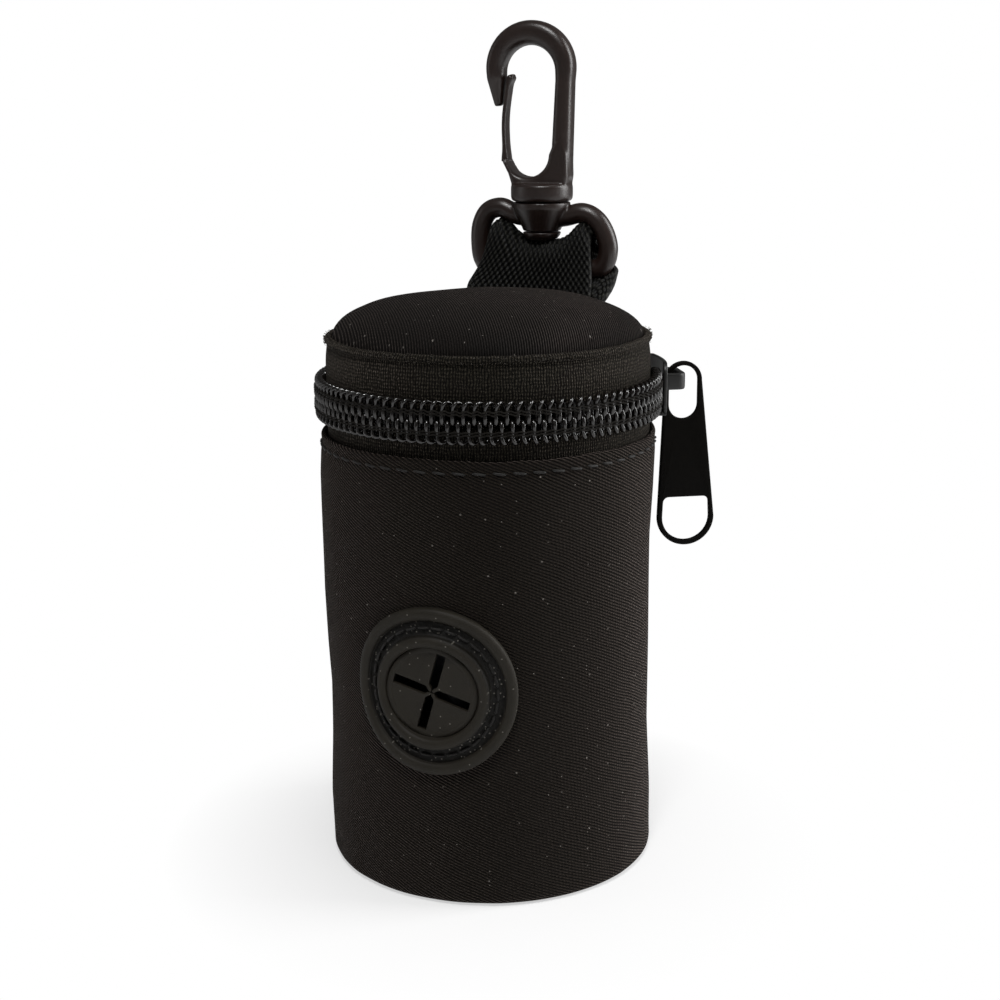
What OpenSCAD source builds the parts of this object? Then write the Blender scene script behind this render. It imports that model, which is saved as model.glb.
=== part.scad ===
// Dog poop bag dispenser: a round cloth pouch with a zipped lid, a rubber bag outlet and a swivel hook.
// Millimetres. The origin is the centre of the base's underside, +Z is up and -Y is the front.

/* [Pouch] */
// Outside diameter of the cloth wall
pouch_d = 50; // [47:0.5:60]
// Height of the wall's top edge
wall_h = 66.3; // [62:0.5:90]
// Thickness of the outer cloth
cloth_t = 0.8; // [0.5:0.1:1]
// Thickness of the foam wadding
foam_t = 1.6; // [1:0.1:2]
// Thickness of the lining
lining_t = 0.4; // [0.3:0.1:0.6]
// Radius of the turn where the wall meets the base
base_round = 2.6; // [2:0.1:3.5]
// Thickness of the stiff board in the base
board_t = 1; // [0.6:0.1:1.6]
// Thickness of the binding tape over the raw edges
binding_t = 1.2; // [0.8:0.1:1.4]

/* [Zip] */
// Thickness of the zip's woven tape
tape_t = 0.5; // [0.4:0.1:0.8]
// Depth of tape that is sewn in behind the wall
tape_sewn = 6.3; // [4:0.1:8]
// Height of tape that shows between the wall and the coil
tape_show = 2.5; // [1.5:0.1:4]
// Height of one of the two coils
coil_h = 2.9; // [2.4:0.1:3.4]
// How far the coil stands out from the tape
coil_t = 1.6; // [1.2:0.1:1.8]
// Half of the angle that the cloth hinge covers at the back
hinge_half = 47; // [40:1:55]
// Where the slider stands when the zip is shut, from the +X side towards the back
slider_at = 27.5; // [20:0.5:29]
// Length of the slider along the zip
slider_l = 11.5; // [10:0.5:12]
// Thickness of the slider's plates
slider_t = 0.6; // [0.5:0.1:0.8]
// Height of the strip that forms the slider's arch
arch_h = 2.7; // [2:0.1:2.8]
// Thickness of the arch's strip
arch_t = 0.9; // [0.6:0.1:0.9]

/* [Zip pull] */
// Thickness of the pull
pull_t = 0.9; // [0.6:0.1:1.4]
// Outside radius of the pull's upper eye
eye_r = 2.9; // [2.7:0.1:3.1]
// Width of the metal round the upper eye
eye_rim = 0.65; // [0.4:0.05:0.7]
// Height of the hole in the upper eye
eye_hole_h = 8.2; // [6:0.1:9]
// Outside radius of the finger ring at the bottom
finger_r = 4.5; // [3.6:0.1:5.5]
// Width of the metal round the finger ring
finger_rim = 0.8; // [0.6:0.1:1.4]
// Height of the hole in the finger ring
finger_hole_h = 6.9; // [5:0.1:7]
// Distance from the eye's centre to the finger ring's centre
pull_drop = 21.5; // [18:0.5:28]
// How far the finger ring hangs further out than the eye
pull_lean = 0.7; // [0.6:0.1:2]

/* [Lid] */
// Height of the lid's side band above the coil
band_h = 5.4; // [4:0.1:8]
// How far the crown's rim stands in from the zip's tape
crown_r_gap = 0.35; // [0.3:0.05:0.8]
// Height of the crown above the seam
crown_h = 6.4; // [5:0.1:9]
// Thickness of the foam in the lid
lid_foam_t = 2.2; // [1.5:0.1:3]

/* [Outlet] */
// Height of the outlet's centre
outlet_z = 32.9; // [26:0.1:40]
// Outside diameter of the outlet's flange
flange_d = 25; // [22:0.5:28]
// Thickness of the flange where it is sewn
flange_t = 0.85; // [0.6:0.05:1.2]
// Width of the flange's outer rim
rim_w = 2.2; // [1.5:0.1:2.6]
// How far the outer rim stands out from the cloth
rim_out = 1.5; // [1.2:0.1:2]
// Outside diameter of the inner ring
ring_d = 17; // [16:0.1:18]
// Inside diameter of the inner ring
ring_bore = 13.6; // [13:0.1:14.4]
// How far the inner ring stands out from the cloth
ring_out = 1.9; // [1.5:0.1:2.4]
// Thickness of the slotted membrane
membrane_t = 0.7; // [0.5:0.1:0.9]
// Radius of the four petals
petal_r = 5.85; // [5:0.05:6]
// Width of the slots between the petals
slot_w = 1.4; // [0.8:0.1:1.8]
// How far the cross slot is turned, clockwise from the front
slot_turn = 16; // [0:1:45]

/* [Strap and hook] */
// Width of the webbing
web_w = 20.6; // [19.5:0.1:21]
// How far the webbing's root is set to the left
web_shift = 1; // [0:0.1:1.2]
// Thickness of the webbing
web_t = 1.3; // [1:0.1:1.5]
// Height from the lid's seam to the middle of the swivel eye's bar
bar_rise = 7.3; // [7:0.1:9]
// Distance of the swivel eye's bar behind the wall
bar_back = 2; // [1.8:0.1:3]
// Thickness of the swivel eye's rod
rod_d = 3.2; // [2.6:0.1:3.4]
// Outside width of the swivel eye
ring_w = 24.4; // [24:0.1:27]
// Height from the bar to the middle of the arms that carry the hub
ring_rise = 7.8; // [7.4:0.1:9]
// Diameter of the swivel hub
hub_d = 8.6; // [7.5:0.1:10]
// Diameter of the stem that turns in the hub
stem_d = 4; // [3:0.1:4.5]
// Diameter of the button at the stem's end
button_d = 6.2; // [5.6:0.1:7]
// Diameter of the collar under the hook
collar_d = 10; // [9:0.1:11]
// Height of the collar
collar_h = 3.7; // [3:0.1:5]
// Diameter of the hook's rod
hook_rod = 3.3; // [2.8:0.1:3.6]
// Inside radius of the hook's top bend
hook_r = 4.1; // [3.8:0.1:5]
// Height from the collar's top to the middle of the top bend
hook_rise = 17.6; // [16:0.1:24]
// Thickness of the gate's springy tongue
gate_t = 0.9; // [0.6:0.1:1]
// Width of the gate
gate_w = 3; // [2:0.1:3.4]

/* [Bag roll] */
// Diameter of the roll of bags
roll_d = 36; // [30:0.5:36.5]
// Length of the roll
roll_h = 58; // [50:0.5:58]
// Outside diameter of the roll's card core
core_d = 15; // [12:0.5:18]
// Wall of the card core
core_t = 1.4; // [1:0.1:2]

/* [Fits] */
// Gap between layers of cloth that are sewn together
layer_gap = 0.05; // [0.02:0.01:0.1]
// Gap between moving pieces that pass each other
pass_gap = 0.2; // [0.15:0.05:0.3]
// Gap between the roll and the floor that it turns on
roll_play = 0.15; // [0.1:0.05:0.5]
// Radial play of the stem in its hub
stem_play = 0.05; // [0.02:0.01:0.1]
// End play of the stem in its hub
end_play = 0.1; // [0.05:0.05:0.2]

/* [Hidden] */
$fn = 64;
arc_steps = 8;
pouch_r = pouch_d / 2;

// Radii of the wall's layers, from the outside in
wall_in_r = pouch_r - cloth_t;
tape_r = wall_in_r - layer_gap;
tape_in_r = tape_r - tape_t;
foam_in_r = tape_r - foam_t;
lining_r = foam_in_r - layer_gap;
lining_in_r = lining_r - lining_t;

// Levels of the base's layers, from the ground up
board_z = cloth_t + layer_gap;
base_lining_z = board_z + board_t + layer_gap;
floor_z = base_lining_z + lining_t;
base_r = pouch_r - base_round;

// Levels of the mouth and the zip
tape_bottom_z = wall_h - tape_sewn;
mouth_drop = 0.3;
mouth_z = wall_h - mouth_drop;
zip_z = wall_h + tape_show + coil_h;
coil_r = tape_r + layer_gap + coil_t;
coil_gap = 0.05;
tape_edge = 0.9;
seam_z = zip_z + coil_h + band_h;
hinge_out = 0.3;
panel_r = tape_r + hinge_out;

// The zip runs from the hinge's right side, round the front, to its left side
zip_from = 90 + hinge_half;
zip_sweep = 360 - 2 * hinge_half;
seam_angle = 0.4;
tape_from = zip_from + seam_angle;
tape_sweep = zip_sweep - 2 * seam_angle;

// The slider: its plates hold the coils between them, and its wedge parts them. The lid's coil stops
// short of the wedge, so that the slider can run as the lid lifts.
slider_half = slider_l / 2 / pouch_r * 180 / PI;
coil_play = 0.3;
plate_in_r = coil_r + coil_play;
eye_gap = 0.4;
plate_out_r = plate_in_r + slider_t;
inner_plate_r = tape_in_r - pass_gap;
plate_under = 1;
plate_over = 1.3;
plate_low = zip_z - coil_h - plate_under;
plate_top = zip_z + coil_h + plate_over;
wedge_h = 0.8;
wedge_from = 9;
wedge_sweep = 3;
coil_cut = 17;
arch_l = 6.4;
pivot_r = plate_out_r + eye_gap + eye_r;
pivot_rise = 0.6;
pivot_z = zip_z + pivot_rise;
eye_hole_r = eye_r - eye_rim;
finger_z = pivot_z - pull_drop;

// The crown is a rounded dome, and its layers are nested
crown_r = tape_r - crown_r_gap;
crown_power = 0.6;

// The outlet's membrane is flat, across the front of the wall
membrane_out = 0.1;
membrane_y = pouch_r + membrane_out;
petal_gap = 0.2;
neck_wall = 1;
petal_tip_r = 0.82 * slot_w;
petal_tip_gap = 0.06;

// The webbing's loop and the eye's bar
root_in = 0.35;
root_rise = 0.3;
web_root_y = panel_r - root_in;
web_root_z = seam_z + root_rise;
bar_y = pouch_r + bar_back;
bar_z = seam_z + bar_rise;
bar_play = 0.35;
side_play = 0.5;
loop_in_r = rod_d / 2 + bar_play;
loop_out_r = loop_in_r + web_t;
web_top_w = ring_w - 2 * (rod_d + side_play);
slit_rise = 0.6;
shoulder_drop = 1.4;
inner_bend = 1;
bend_low = rod_d / 2 + inner_bend;
bend_top = ring_rise / 2;
ring_x = (ring_w - rod_d) / 2;
arm_z = bar_z + ring_rise;

// The hub and the hook above it
hub_over = 0.3;
hub_under = 0.2;
hub_top = arm_z + rod_d / 2 + hub_over;
hub_low = arm_z - rod_d / 2 - hub_under;
button_h = 1.5;
collar_z = hub_top + end_play;
collar_top = collar_z + collar_h;
bend_z = collar_top + hook_rise;
bend_x = -1.75;
bend_mid_r = hook_r + hook_rod / 2;
throat_r = hook_r - 0.5;
throat_x = bend_x - 0.2;
throat_rise = 4.6;
throat_z = collar_top + throat_rise;
spine_low_x = throat_x + throat_r + hook_rod / 2;
hook_depth = 4.6;
spine_reach = norm([spine_low_x - bend_x, bend_z - throat_z]);
spine_l = sqrt(pow(spine_reach, 2) - pow(bend_mid_r, 2));
spine_lean = acos(bend_mid_r / spine_reach) - atan2(bend_z - throat_z, spine_low_x - bend_x);
nose_l = 4.9;
nose_lean = 6.4;
nose_tip_r = 0.85;
gate_root_r = 0.75;
gate_root_x = throat_x - throat_r - 0.4;
gate_root_z = throat_z - 1.2;
gate_tip_x = bend_x - hook_r + 0.75;
gate_tip_z = bend_z - 0.9;
gate_lean = atan2(gate_tip_x - gate_root_x, gate_tip_z - gate_root_z);
gate_l = norm([gate_tip_x - gate_root_x, gate_tip_z - gate_root_z]);

// The rows of stitches
thread_r = 0.17;
stitch_count = 56;
stitch_fill = 0.72;
stitch_drop = 1.7;
flange_stitches = 30;

// The roll stands on the base's lining
roll_z = floor_z + roll_play;
core_bore = core_d - 2 * core_t;

cloth_black = "#1b1817";
foam_grey = "#3a3a3a";
lining_black = "#141313";
nylon_black = "#121110";
rubber_grey = "#2a2826";
plastic_brown = "#241c19";
metal_black = "#0f0e0d";
card_brown = "#9c7a50";
bag_green = "#3f6b4a";

// A band of rectangular section, turned about the pouch's axis
module band(r_in, r_out, z_low, z_high, from = 0, sweep = 360) {
    rotate([0, 0, from])
        rotate_extrude(angle = sweep)
            translate([r_in, z_low])
                square([r_out - r_in, z_high - z_low]);
}

// A drum along the front of the pouch, about the outlet's own axis
module outlet_drum(radius) {
    translate([0, 0, outlet_z])
        rotate([90, 0, 0])
            cylinder(r = radius, h = 2 * pouch_r);
}

// A ring about the outlet's axis that follows the round wall between two radii
module wrapped_ring(r_in, r_out, low, high) {
    intersection() {
        difference() {
            outlet_drum(r_out);
            outlet_drum(r_in);
        }
        band(low, high, outlet_z - r_out - 1, outlet_z + r_out + 1);
    }
}

// Points of a rounded dome above the seam, from its rim to its top
function dome(radius, height) = [
    for (i = [0 : 2 * arc_steps])
        let (t = 90 * i / (2 * arc_steps))
        [radius * pow(cos(t), crown_power), seam_z + height * pow(sin(t), crown_power)]
];

// A shell between two domes
module dome_layer(outer, thickness) {
    inner = outer + thickness;
    rotate_extrude()
        polygon(concat(
            dome(crown_r - outer, crown_h - outer),
            reverse(dome(crown_r - inner, crown_h - inner))
        ));
}

function reverse(list) = [for (i = [len(list) - 1 : -1 : 0]) list[i]];

// Points of an arc about a centre
function arc(centre, radius, from, to, steps = arc_steps) = [
    for (i = [0 : steps])
        let (t = from + (to - from) * i / steps)
        centre + radius * [cos(t), sin(t)]
];

// The rounded section of one coil, seen along the zip
module coil_band(z_low, from, sweep) {
    rotate([0, 0, from])
        rotate_extrude(angle = sweep)
            polygon([
                for (i = [-arc_steps : arc_steps])
                    let (t = 90 * i / arc_steps, lift = sign(t) * pow(abs(sin(t)), crown_power))
                    [
                        tape_r + layer_gap + coil_t * pow(cos(t), crown_power),
                        z_low + coil_h / 2 + (coil_h / 2 - coil_gap) * lift
                    ]
            ]);
}

module body_shell() {
    wall = concat(
        [[base_r, 0]],
        arc([base_r, base_round], base_round, -90, 0),
        [[pouch_r, wall_h - cloth_t / 2]],
        arc([pouch_r - cloth_t / 2, wall_h - cloth_t / 2], cloth_t / 2, 0, 180),
        [[wall_in_r, base_round]],
        reverse(arc([base_r, base_round], base_round - cloth_t, -90, 0))
    );
    color(cloth_black)
        difference() {
            rotate_extrude() polygon(wall);
            outlet_drum(ring_bore / 2 + neck_wall + layer_gap);
        }
}

module body_foam() {
    low = base_round + layer_gap;
    color(foam_grey)
        difference() {
            band(foam_in_r, tape_r, low, mouth_z);
            band(tape_in_r - layer_gap, pouch_r, tape_bottom_z - layer_gap, mouth_z + 1);
            outlet_drum(ring_bore / 2 + neck_wall + layer_gap);
        }
}

module body_lining() {
    color(lining_black)
        difference() {
            band(lining_in_r, lining_r, floor_z + layer_gap, mouth_z);
            outlet_drum(ring_bore / 2 + neck_wall + layer_gap);
        }
}

module base_disc() {
    color(cloth_black) cylinder(r = base_r - layer_gap, h = cloth_t);
}

module base_board() {
    color(card_brown) translate([0, 0, board_z]) cylinder(r = base_r, h = board_t);
}

module base_lining() {
    color(lining_black) translate([0, 0, base_lining_z]) cylinder(r = lining_r, h = lining_t);
}

module base_binding() {
    r_out = lining_in_r - layer_gap;
    color(nylon_black)
        band(r_out - binding_t, r_out, floor_z + layer_gap, floor_z + layer_gap + 1.5 * binding_t);
}

module mouth_binding() {
    color(nylon_black)
        band(lining_in_r, tape_in_r - layer_gap, mouth_z + layer_gap, mouth_z + binding_t);
}

module shell_top_stitching() {
    pitch = 360 / stitch_count;
    color(nylon_black)
        for (i = [0 : stitch_count - 1])
            rotate([0, 0, i * pitch])
                rotate_extrude(angle = pitch * stitch_fill)
                    translate([pouch_r + thread_r + layer_gap / 2, wall_h - stitch_drop])
                        circle(r = thread_r);
}

module lower_zip_tape() {
    color(nylon_black)
        band(tape_in_r, tape_r, tape_bottom_z, zip_z - tape_edge, tape_from, tape_sweep);
}

module lower_zip_coil() {
    color(nylon_black) coil_band(zip_z - coil_h, zip_from, zip_sweep);
}

module hinge_panel_lower() {
    color(cloth_black)
        difference() {
            band(tape_in_r, panel_r, tape_bottom_z, zip_z - coil_gap, 90 - hinge_half, 2 * hinge_half);
            band(tape_r, panel_r + 1, 0, wall_h + layer_gap);
        }
}

module outlet_grommet() {
    foot = pouch_r + layer_gap;
    color(rubber_grey) {
        difference() {
            union() {
                wrapped_ring(ring_bore / 2, flange_d / 2, foot, foot + flange_t);
                wrapped_ring(flange_d / 2 - rim_w, flange_d / 2, foot, pouch_r + rim_out);
                wrapped_ring(ring_bore / 2, ring_d / 2, foot, pouch_r + ring_out);
                wrapped_ring(ring_bore / 2, ring_bore / 2 + neck_wall, lining_in_r, pouch_r + ring_out);
                translate([0, -membrane_y, outlet_z])
                    rotate([90, 0, 0])
                        cylinder(r = ring_bore / 2 + neck_wall / 2, h = membrane_t);
            }
            outlet_drum(petal_r + petal_gap);
        }
    }
}

module grommet_stitching() {
    seat = pouch_r + layer_gap + flange_t + thread_r + layer_gap;
    row_r = (ring_d / 2 + flange_d / 2 - rim_w) / 2;
    pitch = 360 / flange_stitches;
    stitch_l = 2 * PI * row_r / flange_stitches * stitch_fill;
    color(nylon_black)
        for (i = [0 : flange_stitches - 1]) {
            u = row_r * cos(i * pitch);
            v = row_r * sin(i * pitch);
            rotate([0, 0, asin(u / seat)])
                translate([0, -seat, outlet_z + v])
                    rotate([0, -i * pitch, 0])
                        cylinder(r = thread_r, h = stitch_l, center = true);
        }
}

// One petal: a quarter of the membrane, with a small tip that reaches the middle
module petal(turn) {
    color(rubber_grey)
        translate([0, -membrane_y, outlet_z])
            rotate([90, 0, 0])
                rotate([0, 0, turn - slot_turn])
                    linear_extrude(height = membrane_t) {
                        intersection() {
                            circle(r = petal_r);
                            translate([slot_w / 2, slot_w / 2]) square(petal_r);
                        }
                        intersection() {
                            circle(r = petal_tip_r);
                            translate([petal_tip_gap, petal_tip_gap]) square(petal_r);
                        }
                    }
}

module outlet_flap_1() {
    petal(0);
}

module outlet_flap_2() {
    petal(90);
}

module outlet_flap_3() {
    petal(180);
}

module outlet_flap_4() {
    petal(270);
}

module bag_roll() {
    color(bag_green)
        translate([0, 0, roll_z])
            difference() {
                cylinder(d = roll_d, h = roll_h);
                translate([0, 0, -1]) cylinder(d = core_d + 2 * layer_gap, h = roll_h + 2);
            }
}

module roll_core() {
    color(card_brown)
        translate([0, 0, roll_z])
            difference() {
                cylinder(d = core_d, h = roll_h);
                translate([0, 0, -1]) cylinder(d = core_bore, h = roll_h + 2);
            }
}

module lid_top() {
    color(cloth_black) dome_layer(0, cloth_t);
}

module lid_foam() {
    color(foam_grey) dome_layer(cloth_t + layer_gap, lid_foam_t);
}

module lid_lining() {
    color(lining_black) dome_layer(cloth_t + lid_foam_t + 2 * layer_gap, lining_t);
}

module upper_zip_tape() {
    color(nylon_black)
        band(tape_in_r, tape_r, zip_z + tape_edge, seam_z, tape_from, tape_sweep);
}

module upper_zip_coil() {
    color(nylon_black) coil_band(zip_z, zip_from, zip_sweep - coil_cut);
}

module hinge_panel_upper() {
    color(cloth_black)
        band(tape_in_r, panel_r, zip_z + coil_gap, seam_z, 90 - hinge_half, 2 * hinge_half);
}

module lid_seam_binding() {
    r_out = tape_in_r - layer_gap;
    color(nylon_black) band(r_out - binding_t, r_out, seam_z - 2 * binding_t, seam_z - layer_gap);
}

module zip_slider() {
    half = slider_half;
    color(metal_black)
        rotate([0, 0, slider_at]) {
            band(plate_in_r, plate_out_r, plate_low, plate_top, -half, 2 * half);
            band(inner_plate_r - slider_t, inner_plate_r, plate_low, plate_top, -half, 2 * half);
            band(tape_r + pass_gap, plate_out_r, plate_low, plate_low + slider_t, -half, 2 * half);
            band(inner_plate_r - slider_t, plate_out_r, zip_z, zip_z + wedge_h, wedge_from, wedge_sweep);
            arch();
        }
}

// The arch that the pull hangs from
module arch() {
    sunk = 0.2;
    arch_low = pivot_z - arch_h * 0.4;
    reach = pivot_r - plate_out_r + sunk;
    difference() {
        translate([plate_out_r - sunk, -arch_l / 2, arch_low]) cube([reach, arch_l, arch_h]);
        translate([plate_out_r - 1, -arch_l / 2 + arch_t, arch_low - 1])
            cube([reach - sunk - arch_t + 1, arch_l - 2 * arch_t, arch_h + 2]);
    }
}

module zip_pull() {
    bottom = [pivot_r + pull_lean, finger_z];
    top = [pivot_r, pivot_z];
    eye_low = [pivot_r, pivot_z - eye_hole_h + 2 * eye_hole_r];
    finger_hole_r = finger_r - finger_rim;
    outline = concat(
        arc(bottom, finger_r, 180, 360, 4 * arc_steps),
        arc(top, eye_r, 0, 180, 4 * arc_steps)
    );
    eye_hole = concat(
        arc(eye_low, eye_hole_r, 180, 360, 3 * arc_steps),
        arc(top, eye_hole_r, 0, 180, 3 * arc_steps)
    );
    hole_top = bottom[1] - finger_hole_r + finger_hole_h;
    corner_r = 0.9;
    corner_in = finger_hole_r - corner_r - 0.1;
    finger_hole = concat(
        arc(bottom, finger_hole_r, 180, 360, 3 * arc_steps),
        arc([bottom[0] + corner_in, hole_top - corner_r], corner_r, 0, 90),
        arc([bottom[0] - corner_in, hole_top - corner_r], corner_r, 90, 180)
    );
    color(metal_black)
        rotate([0, 0, slider_at])
            translate([0, pull_t / 2, 0])
                rotate([90, 0, 0])
                    linear_extrude(height = pull_t)
                        difference() {
                            polygon(outline);
                            polygon(eye_hole);
                            polygon(finger_hole);
                        }
}

module webbing_loop() {
    centre = [bar_y, bar_z];
    loop = concat(
        [[web_root_y, web_root_z]],
        arc(centre, loop_out_r, 180, 0, 3 * arc_steps),
        [[web_root_y + 2 * web_t + layer_gap, web_root_z]]
    );
    hollow = concat(
        [[web_root_y + web_t, web_root_z + slit_rise]],
        arc(centre, loop_in_r, 180, 0, 3 * arc_steps),
        [[web_root_y + web_t + layer_gap, web_root_z + slit_rise]]
    );
    low_z = web_root_z - 1;
    shoulder_z = bar_z - rod_d / 2 - shoulder_drop;
    front = [
        [-web_w / 2 - web_shift, low_z],
        [web_w / 2 - web_shift, low_z],
        [web_w / 2 - web_shift, shoulder_z],
        [web_top_w / 2, shoulder_z + 1],
        [web_top_w / 2, bar_z + loop_out_r + 1],
        [-web_top_w / 2, bar_z + loop_out_r + 1],
        [-web_top_w / 2, shoulder_z + 1],
        [-web_w / 2 - web_shift, shoulder_z]
    ];
    color(nylon_black)
        intersection() {
            rotate([90, 0, 90])
                translate([0, 0, -web_w])
                    linear_extrude(height = 2 * web_w)
                        difference() {
                            polygon(loop);
                            polygon(hollow);
                        }
            translate([0, bar_y + 2 * loop_out_r, 0])
                rotate([90, 0, 0])
                    linear_extrude(height = 4 * loop_out_r)
                        polygon(front);
        }
}

// A quarter bend of the eye's rod in the plane of the ring
module rod_bend(x, z, radius, from) {
    translate([x, bar_y, z])
        rotate([90, 0, 0])
            rotate([0, 0, from])
                rotate_extrude(angle = 90)
                    translate([radius, 0])
                        circle(d = rod_d);
}

module swivel_eye() {
    low_x = ring_x - bend_low;
    top_x = ring_x - bend_top;
    side_l = ring_rise - bend_low - bend_top;
    color(plastic_brown)
        difference() {
            union() {
                translate([-low_x, bar_y, bar_z]) rotate([0, 90, 0]) cylinder(d = rod_d, h = 2 * low_x);
                rod_bend(low_x, bar_z + bend_low, bend_low, 270);
                rod_bend(-low_x, bar_z + bend_low, bend_low, 180);
                for (side = [-1, 1])
                    translate([side * ring_x, bar_y, bar_z + bend_low]) cylinder(d = rod_d, h = side_l);
                rod_bend(top_x, arm_z - bend_top, bend_top, 0);
                rod_bend(-top_x, arm_z - bend_top, bend_top, 90);
                translate([-top_x, bar_y, arm_z]) rotate([0, 90, 0]) cylinder(d = rod_d, h = 2 * top_x);
                translate([0, bar_y, hub_low]) cylinder(d = hub_d, h = hub_top - hub_low);
            }
            translate([0, bar_y, hub_low - 1])
                cylinder(r = stem_d / 2 + stem_play, h = hub_top - hub_low + 2);
        }
}

module hook_body() {
    stub_z = gate_root_z - gate_root_r - end_play;
    block_right = spine_low_x + hook_rod / 2 + 0.15;
    block_low = collar_top - 0.4;
    block = [
        [-collar_d / 2 + 0.4, block_low],
        [block_right, block_low],
        [block_right, throat_z],
        [throat_x, throat_z],
        [throat_x, stub_z],
        [gate_root_x - gate_root_r, stub_z]
    ];
    sunk = 2;
    color(plastic_brown)
        translate([0, bar_y, 0]) {
            translate([0, 0, hub_low - end_play]) cylinder(d = stem_d, h = collar_z - hub_low + 1);
            translate([0, 0, collar_z]) cylinder(d = collar_d, h = collar_h);
            difference() {
                translate([0, hook_depth / 2, 0])
                    rotate([90, 0, 0])
                        linear_extrude(height = hook_depth)
                            polygon(block);
                translate([throat_x, hook_depth, throat_z])
                    rotate([90, 0, 0])
                        cylinder(r = throat_r, h = 2 * hook_depth);
            }
            translate([bend_x, 0, bend_z])
                rotate([0, -spine_lean, 0])
                    translate([bend_mid_r, 0, -spine_l - sunk])
                        cylinder(d = hook_rod, h = spine_l + sunk);
            translate([bend_x, 0, bend_z])
                rotate([90, 0, 0])
                    rotate([0, 0, spine_lean])
                        rotate_extrude(angle = 180 + nose_lean - spine_lean)
                            translate([bend_mid_r, 0])
                                circle(d = hook_rod);
            translate([bend_x, 0, bend_z])
                rotate([0, -nose_lean, 0])
                    translate([-bend_mid_r, 0, 0]) {
                        translate([0, 0, -nose_l]) cylinder(d1 = 2 * nose_tip_r, d2 = hook_rod, h = nose_l);
                        translate([0, 0, -nose_l]) sphere(r = nose_tip_r * 0.98);
                    }
        }
}

module stem_button() {
    color(plastic_brown)
        translate([0, bar_y, hub_low - end_play - button_h])
            cylinder(d = button_d, h = button_h);
}

module hook_gate() {
    color(plastic_brown)
        translate([gate_root_x, bar_y, gate_root_z])
            rotate([0, gate_lean, 0]) {
                rotate([90, 0, 0]) cylinder(r = gate_root_r, h = gate_w, center = true);
                translate([-gate_t / 2, -gate_w / 2, 0]) cube([gate_t, gate_w, gate_l]);
                translate([0, 0, gate_l])
                    rotate([90, 0, 0])
                        cylinder(r = gate_t * 0.6, h = gate_w, center = true);
            }
}

body_shell();
body_foam();
body_lining();
base_disc();
base_board();
base_lining();
base_binding();
mouth_binding();
shell_top_stitching();
lower_zip_tape();
lower_zip_coil();
hinge_panel_lower();
outlet_grommet();
grommet_stitching();
outlet_flap_1();
outlet_flap_2();
outlet_flap_3();
outlet_flap_4();
bag_roll();
roll_core();
lid_top();
lid_foam();
lid_lining();
upper_zip_tape();
upper_zip_coil();
hinge_panel_upper();
lid_seam_binding();
zip_slider();
zip_pull();
webbing_loop();
swivel_eye();
hook_body();
stem_button();
hook_gate();
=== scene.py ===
# %% [markdown]
# # A cloth pouch for a roll of dog bags
# The pouch is a tube of black twill over thin foam. A coil zip runs round below its lid, a rubber
# outlet on the front lets the bags out one by one, and a plastic swivel hook hangs it from a lead. Each
# part below makes one kind of piece or finish, on the fixed frame that the CAD model gives.

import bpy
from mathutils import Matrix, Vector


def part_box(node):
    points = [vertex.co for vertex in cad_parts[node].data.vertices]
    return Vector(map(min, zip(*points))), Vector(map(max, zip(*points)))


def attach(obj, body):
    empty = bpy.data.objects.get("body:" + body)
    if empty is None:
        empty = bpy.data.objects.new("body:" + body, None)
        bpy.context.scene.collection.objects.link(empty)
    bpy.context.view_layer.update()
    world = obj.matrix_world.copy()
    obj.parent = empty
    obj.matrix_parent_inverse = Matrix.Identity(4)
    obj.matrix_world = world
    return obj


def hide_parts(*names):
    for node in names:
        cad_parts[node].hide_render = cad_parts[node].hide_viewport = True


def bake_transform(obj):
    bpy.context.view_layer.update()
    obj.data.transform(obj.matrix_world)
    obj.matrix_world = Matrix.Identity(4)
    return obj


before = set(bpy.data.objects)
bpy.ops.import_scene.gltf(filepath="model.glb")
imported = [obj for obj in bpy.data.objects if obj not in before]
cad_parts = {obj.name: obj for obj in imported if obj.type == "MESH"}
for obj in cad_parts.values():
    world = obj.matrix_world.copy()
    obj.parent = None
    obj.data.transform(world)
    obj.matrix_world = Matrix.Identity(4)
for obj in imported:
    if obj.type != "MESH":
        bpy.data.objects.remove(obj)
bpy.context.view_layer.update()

import math

import bmesh
import bpy
import numpy as np
from mathutils import Matrix, Quaternion, Vector

# %% [markdown]
# ## Sizes
# Blender counts in metres, and a pouch this small is easier to think about in millimetres. So every
# shape below is worked out in millimetres and turned into metres in one place, where its mesh is made.
# The main sizes come from the frame's own boxes, so that they can't drift away from the CAD model.

# %% Read the main sizes
MM = 0.001


def span(node):
    """The lowest and highest corner of a CAD node, in millimetres."""
    return [np.array(corner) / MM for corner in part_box(node)]


def metres(point):
    """A point in millimetres, turned into metres for the frame."""
    return tuple(value * MM for value in point)


wall_top = span("body_shell")[1][2]
pouch_r = span("body_shell")[1][0]
cloth = span("base_disc")[1][2]
tape_r = -span("lower_zip_tape")[0][0]
tape_low = span("lower_zip_tape")[0][2]
coil_r = -span("lower_zip_coil")[0][0]
zip_z = (span("lower_zip_coil")[1][2] + span("upper_zip_coil")[0][2]) / 2
coil_h = zip_z - span("lower_zip_coil")[0][2]
seam_z = span("upper_zip_tape")[1][2]
crown_r, _, crown_top = span("lid_top")[1]
panel_r = span("hinge_panel_upper")[1][1]
outlet_z = (span("outlet_grommet")[0][2] + span("outlet_grommet")[1][2]) / 2
outlet_r = span("outlet_grommet")[1][0]
lining_in_r = -span("outlet_grommet")[1][1]
print(f"wall {wall_top:.1f} high, {pouch_r:.1f} in radius; zip at {zip_z:.1f}; crown up to {crown_top:.1f}")

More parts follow.
